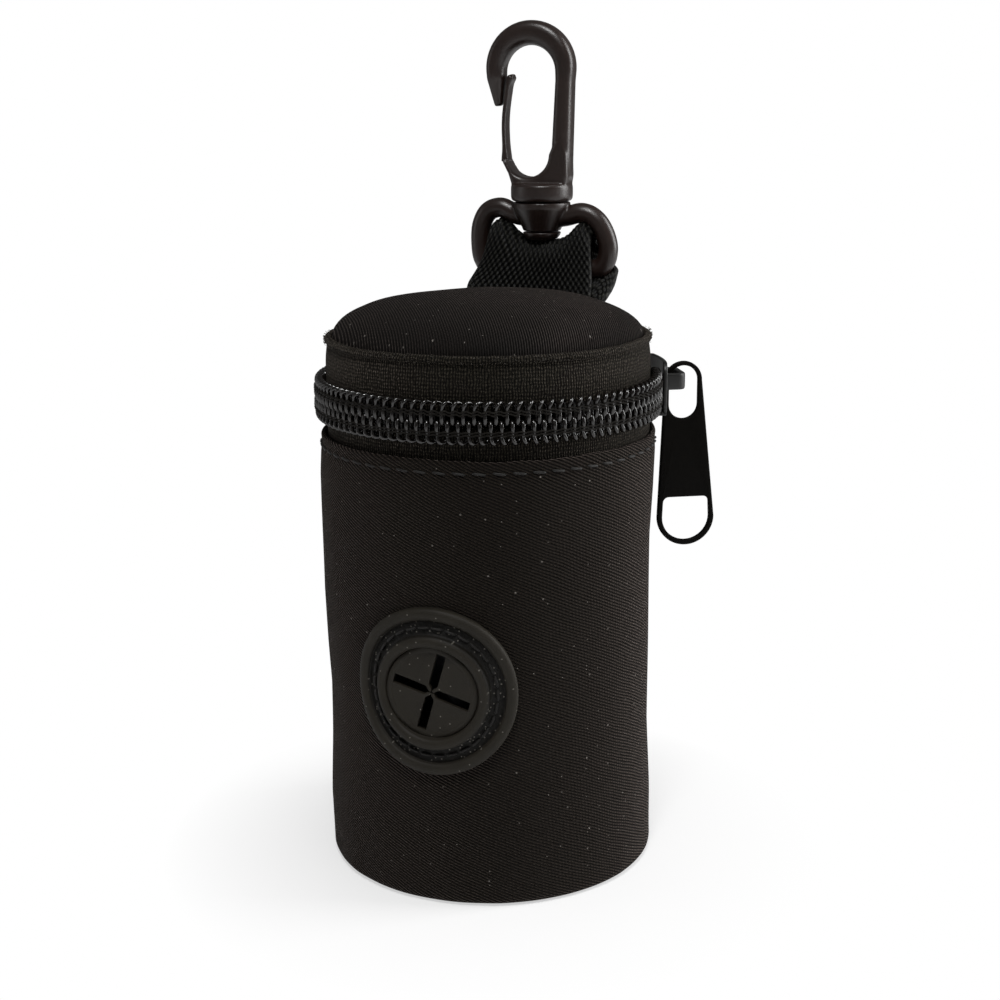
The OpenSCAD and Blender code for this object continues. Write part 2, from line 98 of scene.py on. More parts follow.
# %% [markdown]
# ## The camera
# The photograph was taken from a little right of the front and from slightly above. Its camera was
# found by matching the round rims of the pouch, which show as ellipses. The lens and the distance
# together set how strongly the pouch narrows downwards, so both are kept, and the camera leans by half
# a degree as the photograph does.

# %% Set up the camera
view_turn = math.radians(19.3)
view_down = 0.24442
view_lean = -0.00995
view_distance = 243.4
view_height = 115.49
lens = 59.244
side_shift = 0.0105

camera_data = bpy.data.cameras.new("camera")
camera_data.lens = lens
camera_data.sensor_width = 36
camera_data.shift_x = side_shift
camera_data.clip_start = 0.01
camera = bpy.data.objects.new("camera", camera_data)
bpy.context.scene.collection.objects.link(camera)
looks_along = Vector((
    -math.sin(view_turn) * math.cos(view_down),
    math.cos(view_turn) * math.cos(view_down),
    -math.sin(view_down),
))
aim = looks_along.to_track_quat("-Z", "Y") @ Quaternion((0, 0, 1), view_lean)
place = Vector((
    view_distance * math.sin(view_turn),
    -view_distance * math.cos(view_turn),
    view_height,
)) * MM
camera.matrix_world = Matrix.Translation(place) @ aim.to_matrix().to_4x4()
bpy.context.scene.camera = camera
print("camera at", [round(value, 3) for value in place])

# %% [markdown]
# ## Helpers for meshes
# Nearly every piece of this pouch is a surface that runs in two directions: round the pouch and up it,
# or along a rod and round it. One function turns such a grid of points into a mesh of quads. It also
# writes a UV map in millimetres, so that a weave keeps its real size on any piece.

# %% Turn grids of points into pieces


def new_object(name, mesh):
    """Puts a mesh into the scene as an object."""
    thing = bpy.data.objects.new(name, mesh)
    bpy.context.scene.collection.objects.link(thing)
    return thing


def grid_piece(name, grids, maps=None, wrap_rows=False, wrap_columns=True):
    """Joins grids of points (rows, columns, 3) in millimetres into one mesh, with its open ends closed."""
    points, faces, corners, first = [], [], [], 0
    for number, grid in enumerate(grids):
        rows, columns = grid.shape[:2]
        row, column = np.meshgrid(
            np.arange(rows if wrap_rows else rows - 1),
            np.arange(columns if wrap_columns else columns - 1),
            indexing="ij",
        )
        order = [(row, column), (row, column + 1), (row + 1, column + 1), (row + 1, column)]
        spots = [first + (a % rows) * columns + b % columns for a, b in order]
        faces.append(np.stack(spots, -1).reshape(-1, 4))
        if maps is not None:
            corners.append(np.stack([maps[number][a, b] for a, b in order], -2).reshape(-1, 2))
        points.append(grid.reshape(-1, 3))
        first += rows * columns
    mesh = bpy.data.meshes.new(name)
    mesh.from_pydata((np.concatenate(points) * MM).tolist(), [], np.concatenate(faces).tolist())
    if maps is not None:
        mesh.uv_layers.new(name="cloth").data.foreach_set("uv", np.concatenate(corners).ravel())
    work = bmesh.new()
    work.from_mesh(mesh)
    bmesh.ops.holes_fill(work, edges=[edge for edge in work.edges if edge.is_boundary], sides=0)
    bmesh.ops.recalc_face_normals(work, faces=work.faces)
    work.to_mesh(mesh)
    work.free()
    mesh.shade_smooth()
    return new_object(name, mesh)


def turned(name, profile, start=0.0, sweep=360.0, steps=180, soften=None, closed=True):
    """Turns a profile of (radius, height) points about the pouch's axis; soften may move its points."""
    full = sweep >= 360
    angle = np.radians(start + sweep * np.arange(steps + (not full)) / steps)
    radius, height = (side[:, None] + 0 * angle for side in np.array(profile, float).T)
    if soften:
        radius, height = soften(radius, height, angle + 0 * radius)
    grid = np.stack([radius * np.cos(angle), radius * np.sin(angle), height], -1)
    ends = np.array(profile + profile[:1] if closed else profile, float)
    length = np.concatenate([[0], np.cumsum(np.hypot(*np.diff(ends, axis=0).T))])
    round_by = pouch_r * (np.radians(start + sweep * np.arange(steps + 1) / steps) + math.pi / 2)
    chart = np.stack(np.meshgrid(length, round_by, indexing="ij")[::-1], -1)
    return grid_piece(name, [grid], [chart], wrap_rows=closed, wrap_columns=full)


def tube(path, size, across, sides=12, power=1.0):
    """Rings of points round a path; size is a radius or (along across, square to it), in millimetres."""
    path = np.array(path, float)
    size = np.broadcast_to(np.array(size, float), (len(path), 2))
    ahead = np.gradient(path, axis=0)
    ahead /= np.linalg.norm(ahead, axis=1)[:, None]
    other = np.cross(ahead, np.broadcast_to(np.array(across, float), path.shape))
    other /= np.linalg.norm(other, axis=1)[:, None]
    first = np.cross(other, ahead)
    turn = 2 * math.pi * np.arange(sides) / sides
    round_c = np.sign(np.cos(turn)) * np.abs(np.cos(turn)) ** power
    round_s = np.sign(np.sin(turn)) * np.abs(np.sin(turn)) ** power
    ring = first[:, None] * (size[:, :1] * round_c)[..., None]
    ring = ring + other[:, None] * (size[:, 1:] * round_s)[..., None]
    return path[:, None] + ring


def arc(centre, radius, start, end, steps=8):
    """Points of an arc in a plane, as a list of (across, up)."""
    turn = np.radians(np.linspace(start, end, steps + 1))
    return [(centre[0] + radius * math.cos(t), centre[1] + radius * math.sin(t)) for t in turn]


def settle(thing):
    """Applies a piece's modifiers, so that its mesh is final."""
    shown = thing.evaluated_get(bpy.context.evaluated_depsgraph_get())
    mesh = bpy.data.meshes.new_from_object(shown)
    thing.modifiers.clear()
    thing.data = mesh
    mesh.shade_smooth()
    return thing


def moved(thing, rule):
    """Moves every point of a piece by a rule that takes and returns (points, 3) in millimetres."""
    points = np.zeros(len(thing.data.vertices) * 3)
    thing.data.vertices.foreach_get("co", points)
    points = rule(points.reshape(-1, 3) / MM) * MM
    thing.data.vertices.foreach_set("co", points.ravel())
    thing.data.update()
    return thing


def unevenness(seed, waves=14, finest=16, steepest=0.3):
    """A smooth unevenness of about -1 to 1 over angle and height, which closes round the pouch."""
    dice = np.random.default_rng(seed)
    around = dice.integers(2, finest, waves)
    upward = dice.uniform(-steepest, steepest, waves)
    phase = dice.uniform(0, 2 * math.pi, waves)
    strength = 1 / np.sqrt(around)
    strength /= strength.sum() / 1.8

    def height_of(angle, height):
        each = zip(strength, around, upward, phase)
        return sum(s * np.sin(a * angle + u * height + p) for s, a, u, p in each)

    return height_of


print("mesh helpers ready")

# %% [markdown]
# ## Helpers for finishes
# A finish is a Principled shader whose colour and bump come from small nodes. The class below keeps the
# calls short: noise, waves and ramps are one line each. Where a number is the same all over a piece,
# such as its gloss, it is set on the shader's own socket.

# %% Write the finish helper


class Finish:
    """One material, with short calls for the nodes that give it its grain."""

    def __init__(self, name, colour, roughness, **sockets):
        self.material = bpy.data.materials.new(name)
        self.material.use_nodes = True
        self.tree = self.material.node_tree
        self.shader = self.tree.nodes["Principled BSDF"]
        self.shader.inputs["Base Color"].default_value = (*colour, 1)
        self.shader.inputs["Roughness"].default_value = roughness
        for socket, value in sockets.items():
            self.shader.inputs[socket.replace("_", " ")].default_value = value
        self.cloth = self.node("UVMap", uv_map="cloth").outputs[0]
        self.place = self.node("TexCoord").outputs["Object"]

    def node(self, kind, inputs=None, **settings):
        made = self.tree.nodes.new("ShaderNode" + kind)
        for key, value in settings.items():
            setattr(made, key, value)
        for socket, value in (inputs or {}).items():
            self.feed(made.inputs[socket], value)
        return made

    def feed(self, socket, value):
        if isinstance(value, bpy.types.NodeSocket):
            self.tree.links.new(value, socket)
        else:
            socket.default_value = value

    def math(self, operation, a, b=0.0):
        return self.node("Math", {0: a, 1: b}, operation=operation).outputs[0]

    def scaled(self, vector, by):
        return self.node("VectorMath", {0: vector, 3: by}, operation="SCALE").outputs[0]

    def parts(self, vector):
        return self.node("SeparateXYZ", {0: vector}).outputs

    def noise(self, vector, scale, detail=2.0):
        return self.node("TexNoise", {"Vector": vector, "Scale": scale, "Detail": detail}).outputs[0]

    def wave(self, phase):
        """A smooth wave from 0 to 1, one for each whole number of the phase."""
        swing = self.math("SINE", self.math("MULTIPLY", phase, 2 * math.pi))
        return self.ramp(swing, -1.0, 1.0)

    def ramp(self, value, low, high, to_low=0.0, to_high=1.0):
        return self.node("MapRange", {0: value, 1: low, 2: high, 3: to_low, 4: to_high}).outputs[0]

    def blend(self, share, a, b):
        made = self.node("Mix", {0: share}, data_type="RGBA")
        for index, value in ((6, a), (7, b)):
            self.feed(made.inputs[index], (*value, 1) if isinstance(value, tuple) else value)
        return made.outputs[2]

    def colour(self, value):
        self.feed(self.shader.inputs["Base Color"], value)

    def bump(self, height, depth, strength=1.0):
        """Raises the surface by a height of 0 to 1 times a depth in millimetres."""
        inputs = {"Height": height, "Distance": depth * MM, "Strength": strength}
        self.feed(self.shader.inputs["Normal"], self.node("Bump", inputs).outputs[0])

    def specks(self, vector, spacing, size, share):
        """Sparse bright specks, 1 inside a speck: spacing and size in the vector's own unit."""
        cells = self.node("TexVoronoi", {"Vector": vector, "Scale": 1 / spacing}, voronoi_dimensions="2D")
        near = self.ramp(cells.outputs["Distance"], size / spacing * 1.4, size / spacing * 0.7)
        chosen = self.math("GREATER_THAN", self.parts(cells.outputs["Color"])[0], 1 - share)
        return self.math("MULTIPLY", near, chosen)


def grained(name, base, roughness, scale, detail, dark, light, depth=0, **sockets):
    """A finish whose colour, and bump if it has a depth in millimetres, follow one fine noise."""
    made = Finish(name, base, roughness, **sockets)
    grain = made.noise(made.place, scale, detail)
    made.colour(made.blend(grain, dark, light))
    if depth:
        made.bump(grain, depth)
    return made


def refinish(node, finish):
    """Gives a CAD node that keeps its own mesh a better finish."""
    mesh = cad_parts[node].data
    mesh.materials.clear()
    mesh.materials.append(finish.material)
    print(f"{node}: keeps its mesh, in {finish.material.name}")


def bend_between(thing, finish, slot, bodies, start, end, *nodes):
    """Gives a piece its finish, hides the CAD nodes that it stands for, and bakes its place into its mesh;
    the start and end points are not used.
    """
    thing.data.materials.append(finish.material)
    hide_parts(*nodes)
    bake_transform(thing)
    print(f"{thing.name}: bends between {bodies[0]} and {bodies[1]}")


def dress(thing, finish, body, slot, *nodes):
    """Gives a piece its finish and its body, and hides the CAD nodes that it stands for; the slot is not
    used.
    """
    thing.data.materials.clear()
    thing.data.materials.append(finish.material)
    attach(thing, body)
    if nodes:
        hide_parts(*nodes)
    print(f"{thing.name}: {len(thing.data.vertices)} points, rides on {body}")
    return thing


# %% [markdown]
# ## Light and floor
# The photograph is lit by soft boxes: one high on the right and a little behind, which draws a pale
# sheen down the right side, two above, the smaller of which puts a white spark on every turn of the
# zip, and a weak one on the left. The front stays dark. The background is pure white, so the floor's
# own colour is white close by, where it takes the pouch's soft shadow, and it goes over into plain
# white further out.

# %% Light the pouch and lay the floor
scene = bpy.context.scene
scene.view_settings.view_transform = "Standard"
world_light = 0.13

world = bpy.data.worlds.new("studio")
scene.world = world
world.use_nodes = True
world_tree = world.node_tree
rays = world_tree.nodes.new("ShaderNodeLightPath")
around = world_tree.nodes["Background"]
around.inputs["Color"].default_value = (1, 1, 1, 1)
world_strength = world_tree.nodes.new("ShaderNodeMapRange")
world_strength.inputs[3].default_value = world_light
world_strength.inputs[4].default_value = 1.0
world_tree.links.new(rays.outputs["Is Camera Ray"], world_strength.inputs[0])
world_tree.links.new(world_strength.outputs[0], around.inputs["Strength"])


lamp_aim = 0.06


def soft_box(name, turn, lift, distance, width, height, power):
    """A rectangular lamp aimed at the pouch, placed by its direction in degrees; turn 0 is the front."""
    lamp = bpy.data.lights.new(name, "AREA")
    lamp.shape = "RECTANGLE"
    lamp.size, lamp.size_y, lamp.energy = width, height, power
    thing = bpy.data.objects.new(name, lamp)
    bpy.context.scene.collection.objects.link(thing)
    turn, lift = math.radians(turn), math.radians(lift)
    away = Vector((math.sin(turn) * math.cos(lift), -math.cos(turn) * math.cos(lift), math.sin(lift)))
    facing_pouch = away.to_track_quat("Z", "Y").to_matrix().to_4x4()
    thing.matrix_world = Matrix.Translation(Vector((0, 0, lamp_aim)) + away * distance) @ facing_pouch


soft_box("box_right", 112, 22, 0.7, 0.3, 0.6, 4.6)
soft_box("box_above", 25, 68, 0.55, 0.26, 0.16, 0.5)
soft_box("spot_above", 12, 60, 0.55, 0.11, 0.11, 1.5)
soft_box("box_left", -70, 12, 0.9, 0.3, 0.5, 0.5)

floor_reach = 3.0
shadow_to, white_from = 0.026, 0.052
floor_z = -0.0002
square = ((-1, -1), (1, -1), (1, 1), (-1, 1))
floor_corners = [(x * floor_reach, y * floor_reach, floor_z) for x, y in square]
floor_mesh = bpy.data.meshes.new("floor")
floor_mesh.from_pydata(floor_corners, [], [(0, 1, 2, 3)])
floor = new_object("floor", floor_mesh)
floor_finish = Finish("white_floor", (0.93, 0.93, 0.93), 0.9, Specular_IOR_Level=0.0)
far_off = floor_finish.node("VectorMath", {0: floor_finish.place}, operation="LENGTH").outputs["Value"]
to_camera = floor_finish.node("LightPath").outputs["Is Camera Ray"]
plain_share = floor_finish.ramp(far_off, shadow_to, white_from, 0.55, 1.0)
over = floor_finish.math("MULTIPLY", plain_share, to_camera)
plain_white = floor_finish.node("Emission").outputs[0]
mixed = floor_finish.node("MixShader", {0: over, 1: floor_finish.shader.outputs[0], 2: plain_white})
floor_finish.feed(floor_finish.tree.nodes["Material Output"].inputs[0], mixed.outputs[0])
floor_mesh.materials.append(floor_finish.material)
print("four soft boxes and a white floor")

# %% [markdown]
# ## The black twill
# Twill shows fine slanting ribs. On this pouch they fall to the right at about 25 degrees, 0.4 mm
# apart, and each rib is a row of short stitches. The height of a rib is a wave across the cloth, and a
# second wave along the rib breaks it up. The same height drives the colour, because a rib's crest
# catches light that its valley never sees. The cloth is nearly black with a warm sheen at its edges,
# and dust and lint lie on it as they do on any black cloth. The crown's twill is finer and duller, and
# runs another way. The zip's tapes, the bindings and the lining are plain woven tape, and the foam and
# the thread are a fine grain.

# %% Mix the twill and the other cloths


def twill(name, angle, rib_pitch, sheen, light_shade):
    """Black twill whose ribs run at an angle in degrees from the map's first direction."""
    made = Finish(
        name, (0.006, 0.005, 0.004), 0.85, Specular_IOR_Level=0.08, Sheen_Weight=sheen, Sheen_Roughness=0.42
    )
    chart = made.cloth
    drift = made.noise(made.scaled(chart, 0.12), 1.0, 1.0)
    u, v, _ = made.parts(chart)
    lean = math.radians(angle)

    def along(direction):
        sideways = made.math("MULTIPLY", u, math.cos(direction))
        return made.math("ADD", sideways, made.math("MULTIPLY", v, math.sin(direction)))

    even_rib = made.math("DIVIDE", along(lean + math.pi / 2), rib_pitch)
    rib = made.math("ADD", even_rib, made.math("MULTIPLY", drift, 1.5))
    stagger = made.math("MULTIPLY", made.math("FLOOR", rib), 0.37)
    dash = made.math("ADD", made.math("DIVIDE", along(lean), 0.62), stagger)
    broken = made.ramp(made.wave(dash), 0.0, 1.0, 0.82, 1.0)
    height = made.math("MULTIPLY", made.wave(rib), broken)
    fuzz = made.noise(chart, 5.0, 3.0)
    patches = made.noise(chart, 0.08, 2.0)
    tone = made.math("MULTIPLY", height, made.ramp(fuzz, 0.3, 0.7, 0.75, 1.1))
    shade = made.blend(tone, (0.0008, 0.0005, 0.0003), light_shade)
    shade = made.blend(made.ramp(patches, 0.35, 0.65, 0.0, 0.2), shade, (0.007, 0.0046, 0.0035))
    dust = made.specks(chart, 2.2, 0.075, 0.16)
    lint = made.math("MAXIMUM", dust, made.specks(made.scaled(chart, 1.3), 5.0, 0.15, 0.14))
    made.colour(made.blend(made.math("MULTIPLY", lint, 0.8), shade, (0.24, 0.22, 0.2)))
    made.feed(made.shader.inputs["Sheen Tint"], made.blend(tone, (0.02, 0.015, 0.012), (1.0, 0.82, 0.74)))
    made.bump(made.math("ADD", height, made.math("MULTIPLY", lint, 0.3)), 0.26)
    return made


def ribbed(name, dark, light, pitch, cross, sheen=0.12):
    """Woven tape: fine upright ribs, crossed by its weft."""
    made = Finish(name, dark, 0.85, Specular_IOR_Level=0.08, Sheen_Weight=sheen, Sheen_Roughness=0.45)
    u, v, _ = made.parts(made.cloth)
    sway = made.math("MULTIPLY", made.noise(made.cloth, 0.7, 2.0), 1.6)
    rib = made.wave(made.math("ADD", made.math("DIVIDE", u, pitch), sway))
    weft = made.ramp(made.wave(made.math("ADD", made.math("DIVIDE", v, cross), sway)), 0, 1, 0.35, 1.0)
    fuzz = made.noise(made.cloth, 2.6, 4.0)
    height = made.math("MULTIPLY", made.math("MULTIPLY", rib, weft), made.ramp(fuzz, 0.35, 0.65, 0.25, 1.3))
    # Painted light and shade: the rib height sets the colour, so crests are painted lighter and valleys
    # darker, partly varied at random by the fuzz. The sheen tint follows the same height.
    made.colour(made.blend(height, dark, light))
    made.feed(made.shader.inputs["Sheen Tint"], made.blend(height, (0.12, 0.1, 0.08), (1.0, 0.86, 0.76)))
    made.bump(height, 0.18)
    return made


wall_twill = twill("black_twill", -25, 0.43, 0.27, (0.0135, 0.0102, 0.0068))
crown_twill = twill("crown_twill", -60, 0.36, 0.1, (0.0095, 0.0083, 0.0074))
zip_cloth = ribbed("zip_tape_weave", (0.0008, 0.0006, 0.0004), (0.036, 0.031, 0.022), 0.42, 0.5, 0.2)
binding = ribbed("binding_weave", (0.005, 0.005, 0.005), (0.018, 0.018, 0.018), 0.6, 0.5)
lining = ribbed("lining_weave", (0.007, 0.007, 0.008), (0.013, 0.013, 0.014), 0.25, 0.25)

foam = grained(
    "foam_wadding", (0.16, 0.16, 0.16), 0.95, 2600.0, 3.0,
    dark=(0.08, 0.08, 0.085), light=(0.24, 0.24, 0.24), depth=0.25, Specular_IOR_Level=0.1,
)
thread = grained(
    "sewing_thread", (0.006, 0.0055, 0.005), 0.6, 4200.0, 2.0,
    dark=(0.0015, 0.0013, 0.001), light=(0.011, 0.0095, 0.008), depth=0.04,
    Specular_IOR_Level=0.3, Sheen_Weight=0.05,
)
cloths = (wall_twill, crown_twill, zip_cloth, binding, lining, foam, thread)
print("cloths:", [finish.material.name for finish in cloths])

# %% [markdown]
# ## The wall
# The wall is a tube of twill over foam. Its top edge is turned over, and its lower edge turns in under
# the pouch to the base seam. A plain tube looks like a tin, so the outline of the photograph goes into
# it: the right side is drawn in between the zip and the base, the left side stands out a little, and
# the cloth dimples along the row of stitches. A thin shell with a turned edge is made as one closed
# profile, turned about the axis.

# %% Make the wall
sewn_z = wall_top - 1.7
stitch_count = 56
hole_r = outlet_r - 4.65
base_turn = 1.1


def side_shape(height, steps):
    """Reads a smooth radius change from a few (height, change) pairs."""
    at, change = zip(*steps)
    return np.interp(height, at, change)


right_side = [(0, 0.0), (9, -0.2), (20, -0.62), (50, -0.62), (57, -0.25), (64, 0.0), (90, 0.0)]
left_side = [
    (0, 0.2), (9, 0.32), (18, 0.0), (27, -0.15), (34, 0.15), (42, 0.42), (60, 0.42), (65, 0.15), (90, 0.0)
]
lumps = unevenness(3)
puckers = unevenness(11, finest=34, steepest=0.05)


def facing(angle, towards, width=95.0):
    """1 where the wall faces a direction in degrees, going smoothly to 0 at the width."""
    off = np.abs((np.degrees(angle) - towards + 180) % 360 - 180)
    return np.cos(np.clip(off / width, 0, 1) * math.pi / 2) ** 2


def wall_swell(height, angle):
    """How far the wall stands in or out of its round shape, in millimetres."""
    swell = facing(angle, 12) * side_shape(height, right_side)
    swell += facing(angle, -155) * side_shape(height, left_side)
    swell += 0.07 * lumps(angle, height)
    near_base = np.exp(-((height - 3) / 4) ** 2)
    swell += 0.16 * near_base * puckers(angle, height)
    sewn = np.exp(-((height - sewn_z) / 0.55) ** 2)
    swell -= sewn * (0.16 + 0.06 * np.cos(stitch_count * angle))
    return swell


def wall_soften(radius, height, angle):
    sink = 0.18 * np.exp(-((height - wall_top) / 1.2) ** 2) * puckers(angle + 1, height)
    return radius + wall_swell(height, angle), np.maximum(height + sink, 0)


def open_outlet(thing, cut_r):
    """Opens the round hole for the outlet's neck, and moves the hole's edge onto its circle."""
    work = bmesh.new()
    work.from_mesh(thing.data)

    def off_centre(point):
        return math.hypot(point.x, point.z - outlet_z * MM) / MM

    def in_hole(face):
        middle = face.calc_center_median()
        return middle.y < 0 and off_centre(middle) < cut_r

    bmesh.ops.delete(work, geom=[face for face in work.faces if in_hole(face)], context="FACES")
    for vertex in {v for edge in work.edges if edge.is_boundary for v in edge.verts}:
        factor = cut_r / off_centre(vertex.co)
        vertex.co.x *= factor
        vertex.co.z = outlet_z * MM + (vertex.co.z - outlet_z * MM) * factor
    rims = [edge for edge in work.edges if edge.is_boundary]
    bmesh.ops.bridge_loops(work, edges=rims)
    bmesh.ops.recalc_face_normals(work, faces=work.faces)
    work.to_mesh(thing.data)
    work.free()
    return thing


inner_r = pouch_r - cloth
base_cloth_r = span("base_disc")[1][0]
seam_start = base_cloth_r + 0.06
turn_centre = (pouch_r - base_turn, base_turn)
wall_heights = np.linspace(base_turn, wall_top - cloth / 2, 76)
wall_profile = (
    [(seam_start, 0)]
    + arc(turn_centre, base_turn, -90, 0)
    + [(pouch_r, z) for z in wall_heights[1:-1]]
    + arc((pouch_r - cloth / 2, wall_top - cloth / 2), cloth / 2, 0, 180)
    + [(inner_r, z) for z in wall_heights[-2:0:-1]]
    + arc(turn_centre, base_turn - cloth, 0, -90)
    + [(seam_start, cloth)]
)
wall = open_outlet(turned("pouch_wall", wall_profile, steps=220, soften=wall_soften), hole_r)
dress(wall, wall_twill, "pouch", "twill", "body_shell")

# %% [markdown]
# ## The base and the inside
# Below, a disc of twill is sewn to the wall, with a stiff board on it. Inside come the foam, the lining
# and the tapes that bind the raw edges. They show only when the lid is open, but they are what makes
# the pouch stand, so each is its own soft layer with its own small waves.

# %% Make the base, the foam, the linings and the bindings


def layer_profile(low_r, high_r, low_z, high_z, rounding=0.2, rows=24):
    """A closed band section with rounded edges, as (radius, height) points."""
    r = min(rounding, (high_r - low_r) / 2.01, (high_z - low_z) / 2.01)
    heights = np.linspace(low_z + r, high_z - r, rows)
    return (
        [(high_r, z) for z in heights[:-1]]
        + arc((high_r - r, high_z - r), r, 0, 90, 4)
        + arc((low_r + r, high_z - r), r, 90, 180, 4)[1:]
        + [(low_r, z) for z in heights[-2:0:-1]]
        + arc((low_r + r, low_z + r), r, 180, 270, 4)
        + arc((high_r - r, low_z + r), r, 270, 360, 4)[1:-1]
    )


def waves(seed, size, finest=16):
    """A soften rule with small waves round the pouch."""
    uneven = unevenness(seed, finest=finest)
    return lambda radius, height, angle: (radius + size * uneven(angle, height), height)


def disc_profile(radius, low_z, high_z, rise=0.0, rows=16):
    """A round sheet from the axis to its rim, with a rounded edge."""
    half = (high_z - low_z) / 2
    inward = np.linspace(0.02, radius - half, rows)
    lift = [rise * (1 - (r / radius) ** 2) for r in inward]
    under = [(r, low_z + l) for r, l in zip(inward, lift)]
    over_it = [(r, high_z + l) for r, l in zip(inward, lift)]
    return under + arc((radius - half, low_z + half), half, -90, 90, 6)[1:-1] + over_it[::-1]


foam_low, foam_high = span("body_foam")
lining_low, lining_high = span("body_lining")
foam_in = lining_high[0] + 0.05
stepped_in = tape_r - 0.55

base_cloth = turned("base_cloth", disc_profile(base_cloth_r, 0, cloth, 0.05), steps=160)
dress(base_cloth, crown_twill, "pouch", "twill", "base_disc")

board = grained(
    "stiff_board", (0.3, 0.24, 0.16), 0.7, 900.0, 5.0,
    dark=(0.2, 0.15, 0.09), light=(0.38, 0.31, 0.21), depth=0.05,
)
refinish("base_board", board)

base_lining_low, base_lining_high = span("base_lining")
base_lining = turned(
    "base_lining_cloth",
    disc_profile(base_lining_high[0], base_lining_low[2], base_lining_high[2]), steps=160,
)
dress(base_lining, lining, "pouch", "lining", "base_lining")

wall_pad_profile = (
    [(tape_r, z) for z in np.linspace(foam_low[2], tape_low - 0.1, 40)]
    + [(stepped_in, z) for z in np.linspace(tape_low - 0.05, foam_high[2], 6)]
    + [(foam_in, z) for z in np.linspace(foam_high[2], foam_low[2], 44)]
)
wall_pad = open_outlet(turned("wall_foam", wall_pad_profile, steps=160, soften=waves(5, 0.02)), hole_r)
dress(wall_pad, foam, "pouch", "foam", "body_foam")

wall_lining = turned(
    "wall_lining", layer_profile(lining_in_r, lining_high[0], lining_low[2], lining_high[2], rows=44),
    steps=180, soften=waves(6, 0.02),
)
dress(open_outlet(wall_lining, hole_r), lining, "pouch", "lining", "body_lining")


def bound_edge(name, node, low_r, high_r, body, seed):
    """A tape folded over a raw edge: a thick soft ring."""
    low, high = span(node)
    profile = layer_profile(low_r, high_r, low[2], high[2], 0.45, 6)
    ring = turned(name, profile, steps=220, soften=waves(seed, 0.03, 40))
    return dress(ring, binding, body, "binding", node)


binding_t = 1.2
base_tape_r = span("base_binding")[1][0]
bound_edge("base_seam_tape", "base_binding", base_tape_r - binding_t, base_tape_r, "pouch", 21)
bound_edge("mouth_tape", "mouth_binding", lining_in_r, span("mouth_binding")[1][0], "pouch", 22)
lid_tape_r = span("lid_seam_binding")[1][0]
bound_edge("lid_seam_tape", "lid_seam_binding", lid_tape_r - binding_t, lid_tape_r, "lid", 23)

# %% [markdown]
# ## The zip's tapes
# The zip's woven tape shows below the coil as a narrow strip, and above it as the lid's side band. Its
# top edge is the raw edge of the seam to the crown: it rolls outwards, uneven and fuzzy. So the band's
# profile ends in a small roll, and the roll's height and thickness wander.

# %% Make both tapes
tape_in_r = tape_r - 0.5
zip_from = 137.4
zip_sweep = 360 - 2 * (zip_from - 90)
frayed = unevenness(31, waves=30, finest=90, steepest=0.6)
band_waves = unevenness(32, finest=20)

lower_tape = turned(
    "lower_tape", layer_profile(tape_in_r, tape_r, tape_low, span("lower_zip_tape")[1][2], 0.2, 30),
    start=zip_from, sweep=zip_sweep, steps=220, soften=waves(33, 0.05, 24),
)
dress(lower_tape, zip_cloth, "pouch", "zip_tape", "lower_zip_tape")

band_low = span("upper_zip_tape")[0][2]
roll = 0.55


def band_soften(radius, height, angle):
    near_seam = np.exp(-((height - seam_z) / 1.0) ** 2)
    belly = 0.12 * np.sin(np.clip((height - band_low - 2) / (seam_z - band_low - 2), 0, 1) * math.pi)
    drawn_in = 0.4 * np.clip((height - band_low) / (seam_z - band_low), 0, 1.1) ** 2
    radius = radius + belly - drawn_in + 0.07 * band_waves(angle, height)
    radius = radius + near_seam * 0.1 * frayed(angle, height)
    return radius, height + near_seam * 0.16 * frayed(angle + 2, height)


band_heights = np.linspace(band_low, seam_z - 0.5, 26)
band_profile = (
    [(tape_r, z) for z in band_heights]
    + arc((tape_r, seam_z + 0.1), roll, -60, 150, 10)
    + [(tape_in_r, z) for z in band_heights[::-1]]
)
upper_tape = turned(
    "lid_band", band_profile, start=zip_from, sweep=zip_sweep, steps=420, soften=band_soften,
)
dress(upper_tape, zip_cloth, "lid", "zip_tape", "upper_zip_tape")

# %% [markdown]
# The raw edge frays: short ends and loops of yarn stand out of the roll all the way round. They are
# very thin, but in the photograph they catch the light and make the seam look soft.

# %% Fray the raw edge


def fibre(start, way, length, curl, thickness=0.035):
    """A short curled yarn end in millimetres."""
    t = np.linspace(0, 1, 7)[:, None]
    path = start + way * length * t + curl * length * t * (1 - t) * 2
    return tube(path, thickness, np.cross(way, (0.3, 0.5, 0.8)), sides=4)


def seam_fibres(count, seed):
    dice = np.random.default_rng(seed)
    made = []
    for angle in dice.uniform(math.radians(zip_from), math.radians(zip_from + zip_sweep), count):
        out = np.array([math.cos(angle), math.sin(angle), 0])
        side = np.array([-math.sin(angle), math.cos(angle), 0])
        low = dice.uniform(-0.5, 0.6)
        roll_r = tape_r - 0.35 + roll * math.sqrt(max(0, 1 - (low / 0.7) ** 2))
        start = out * roll_r + np.array([0, 0, seam_z + 0.1 + low])
        way = out * dice.uniform(0.2, 1) + side * dice.uniform(-1.5, 1.5)
        way = way + np.array([0, 0, dice.uniform(-0.6, 0.8)])
        curl = dice.uniform(-0.8, 0.8, 3)
        made.append(fibre(start - out * 0.12, way / np.linalg.norm(way), dice.uniform(0.18, 0.42), curl))
    return made


loose_yarn = grained(
    "loose_yarn", (0.03, 0.026, 0.02), 0.7, 900.0, 2.0,
    dark=(0.012, 0.01, 0.008), light=(0.07, 0.062, 0.052), Specular_IOR_Level=0.3,
)
dress(grid_piece("seam_fibres", seam_fibres(420, 81)), loose_yarn, "lid", "zip_tape")

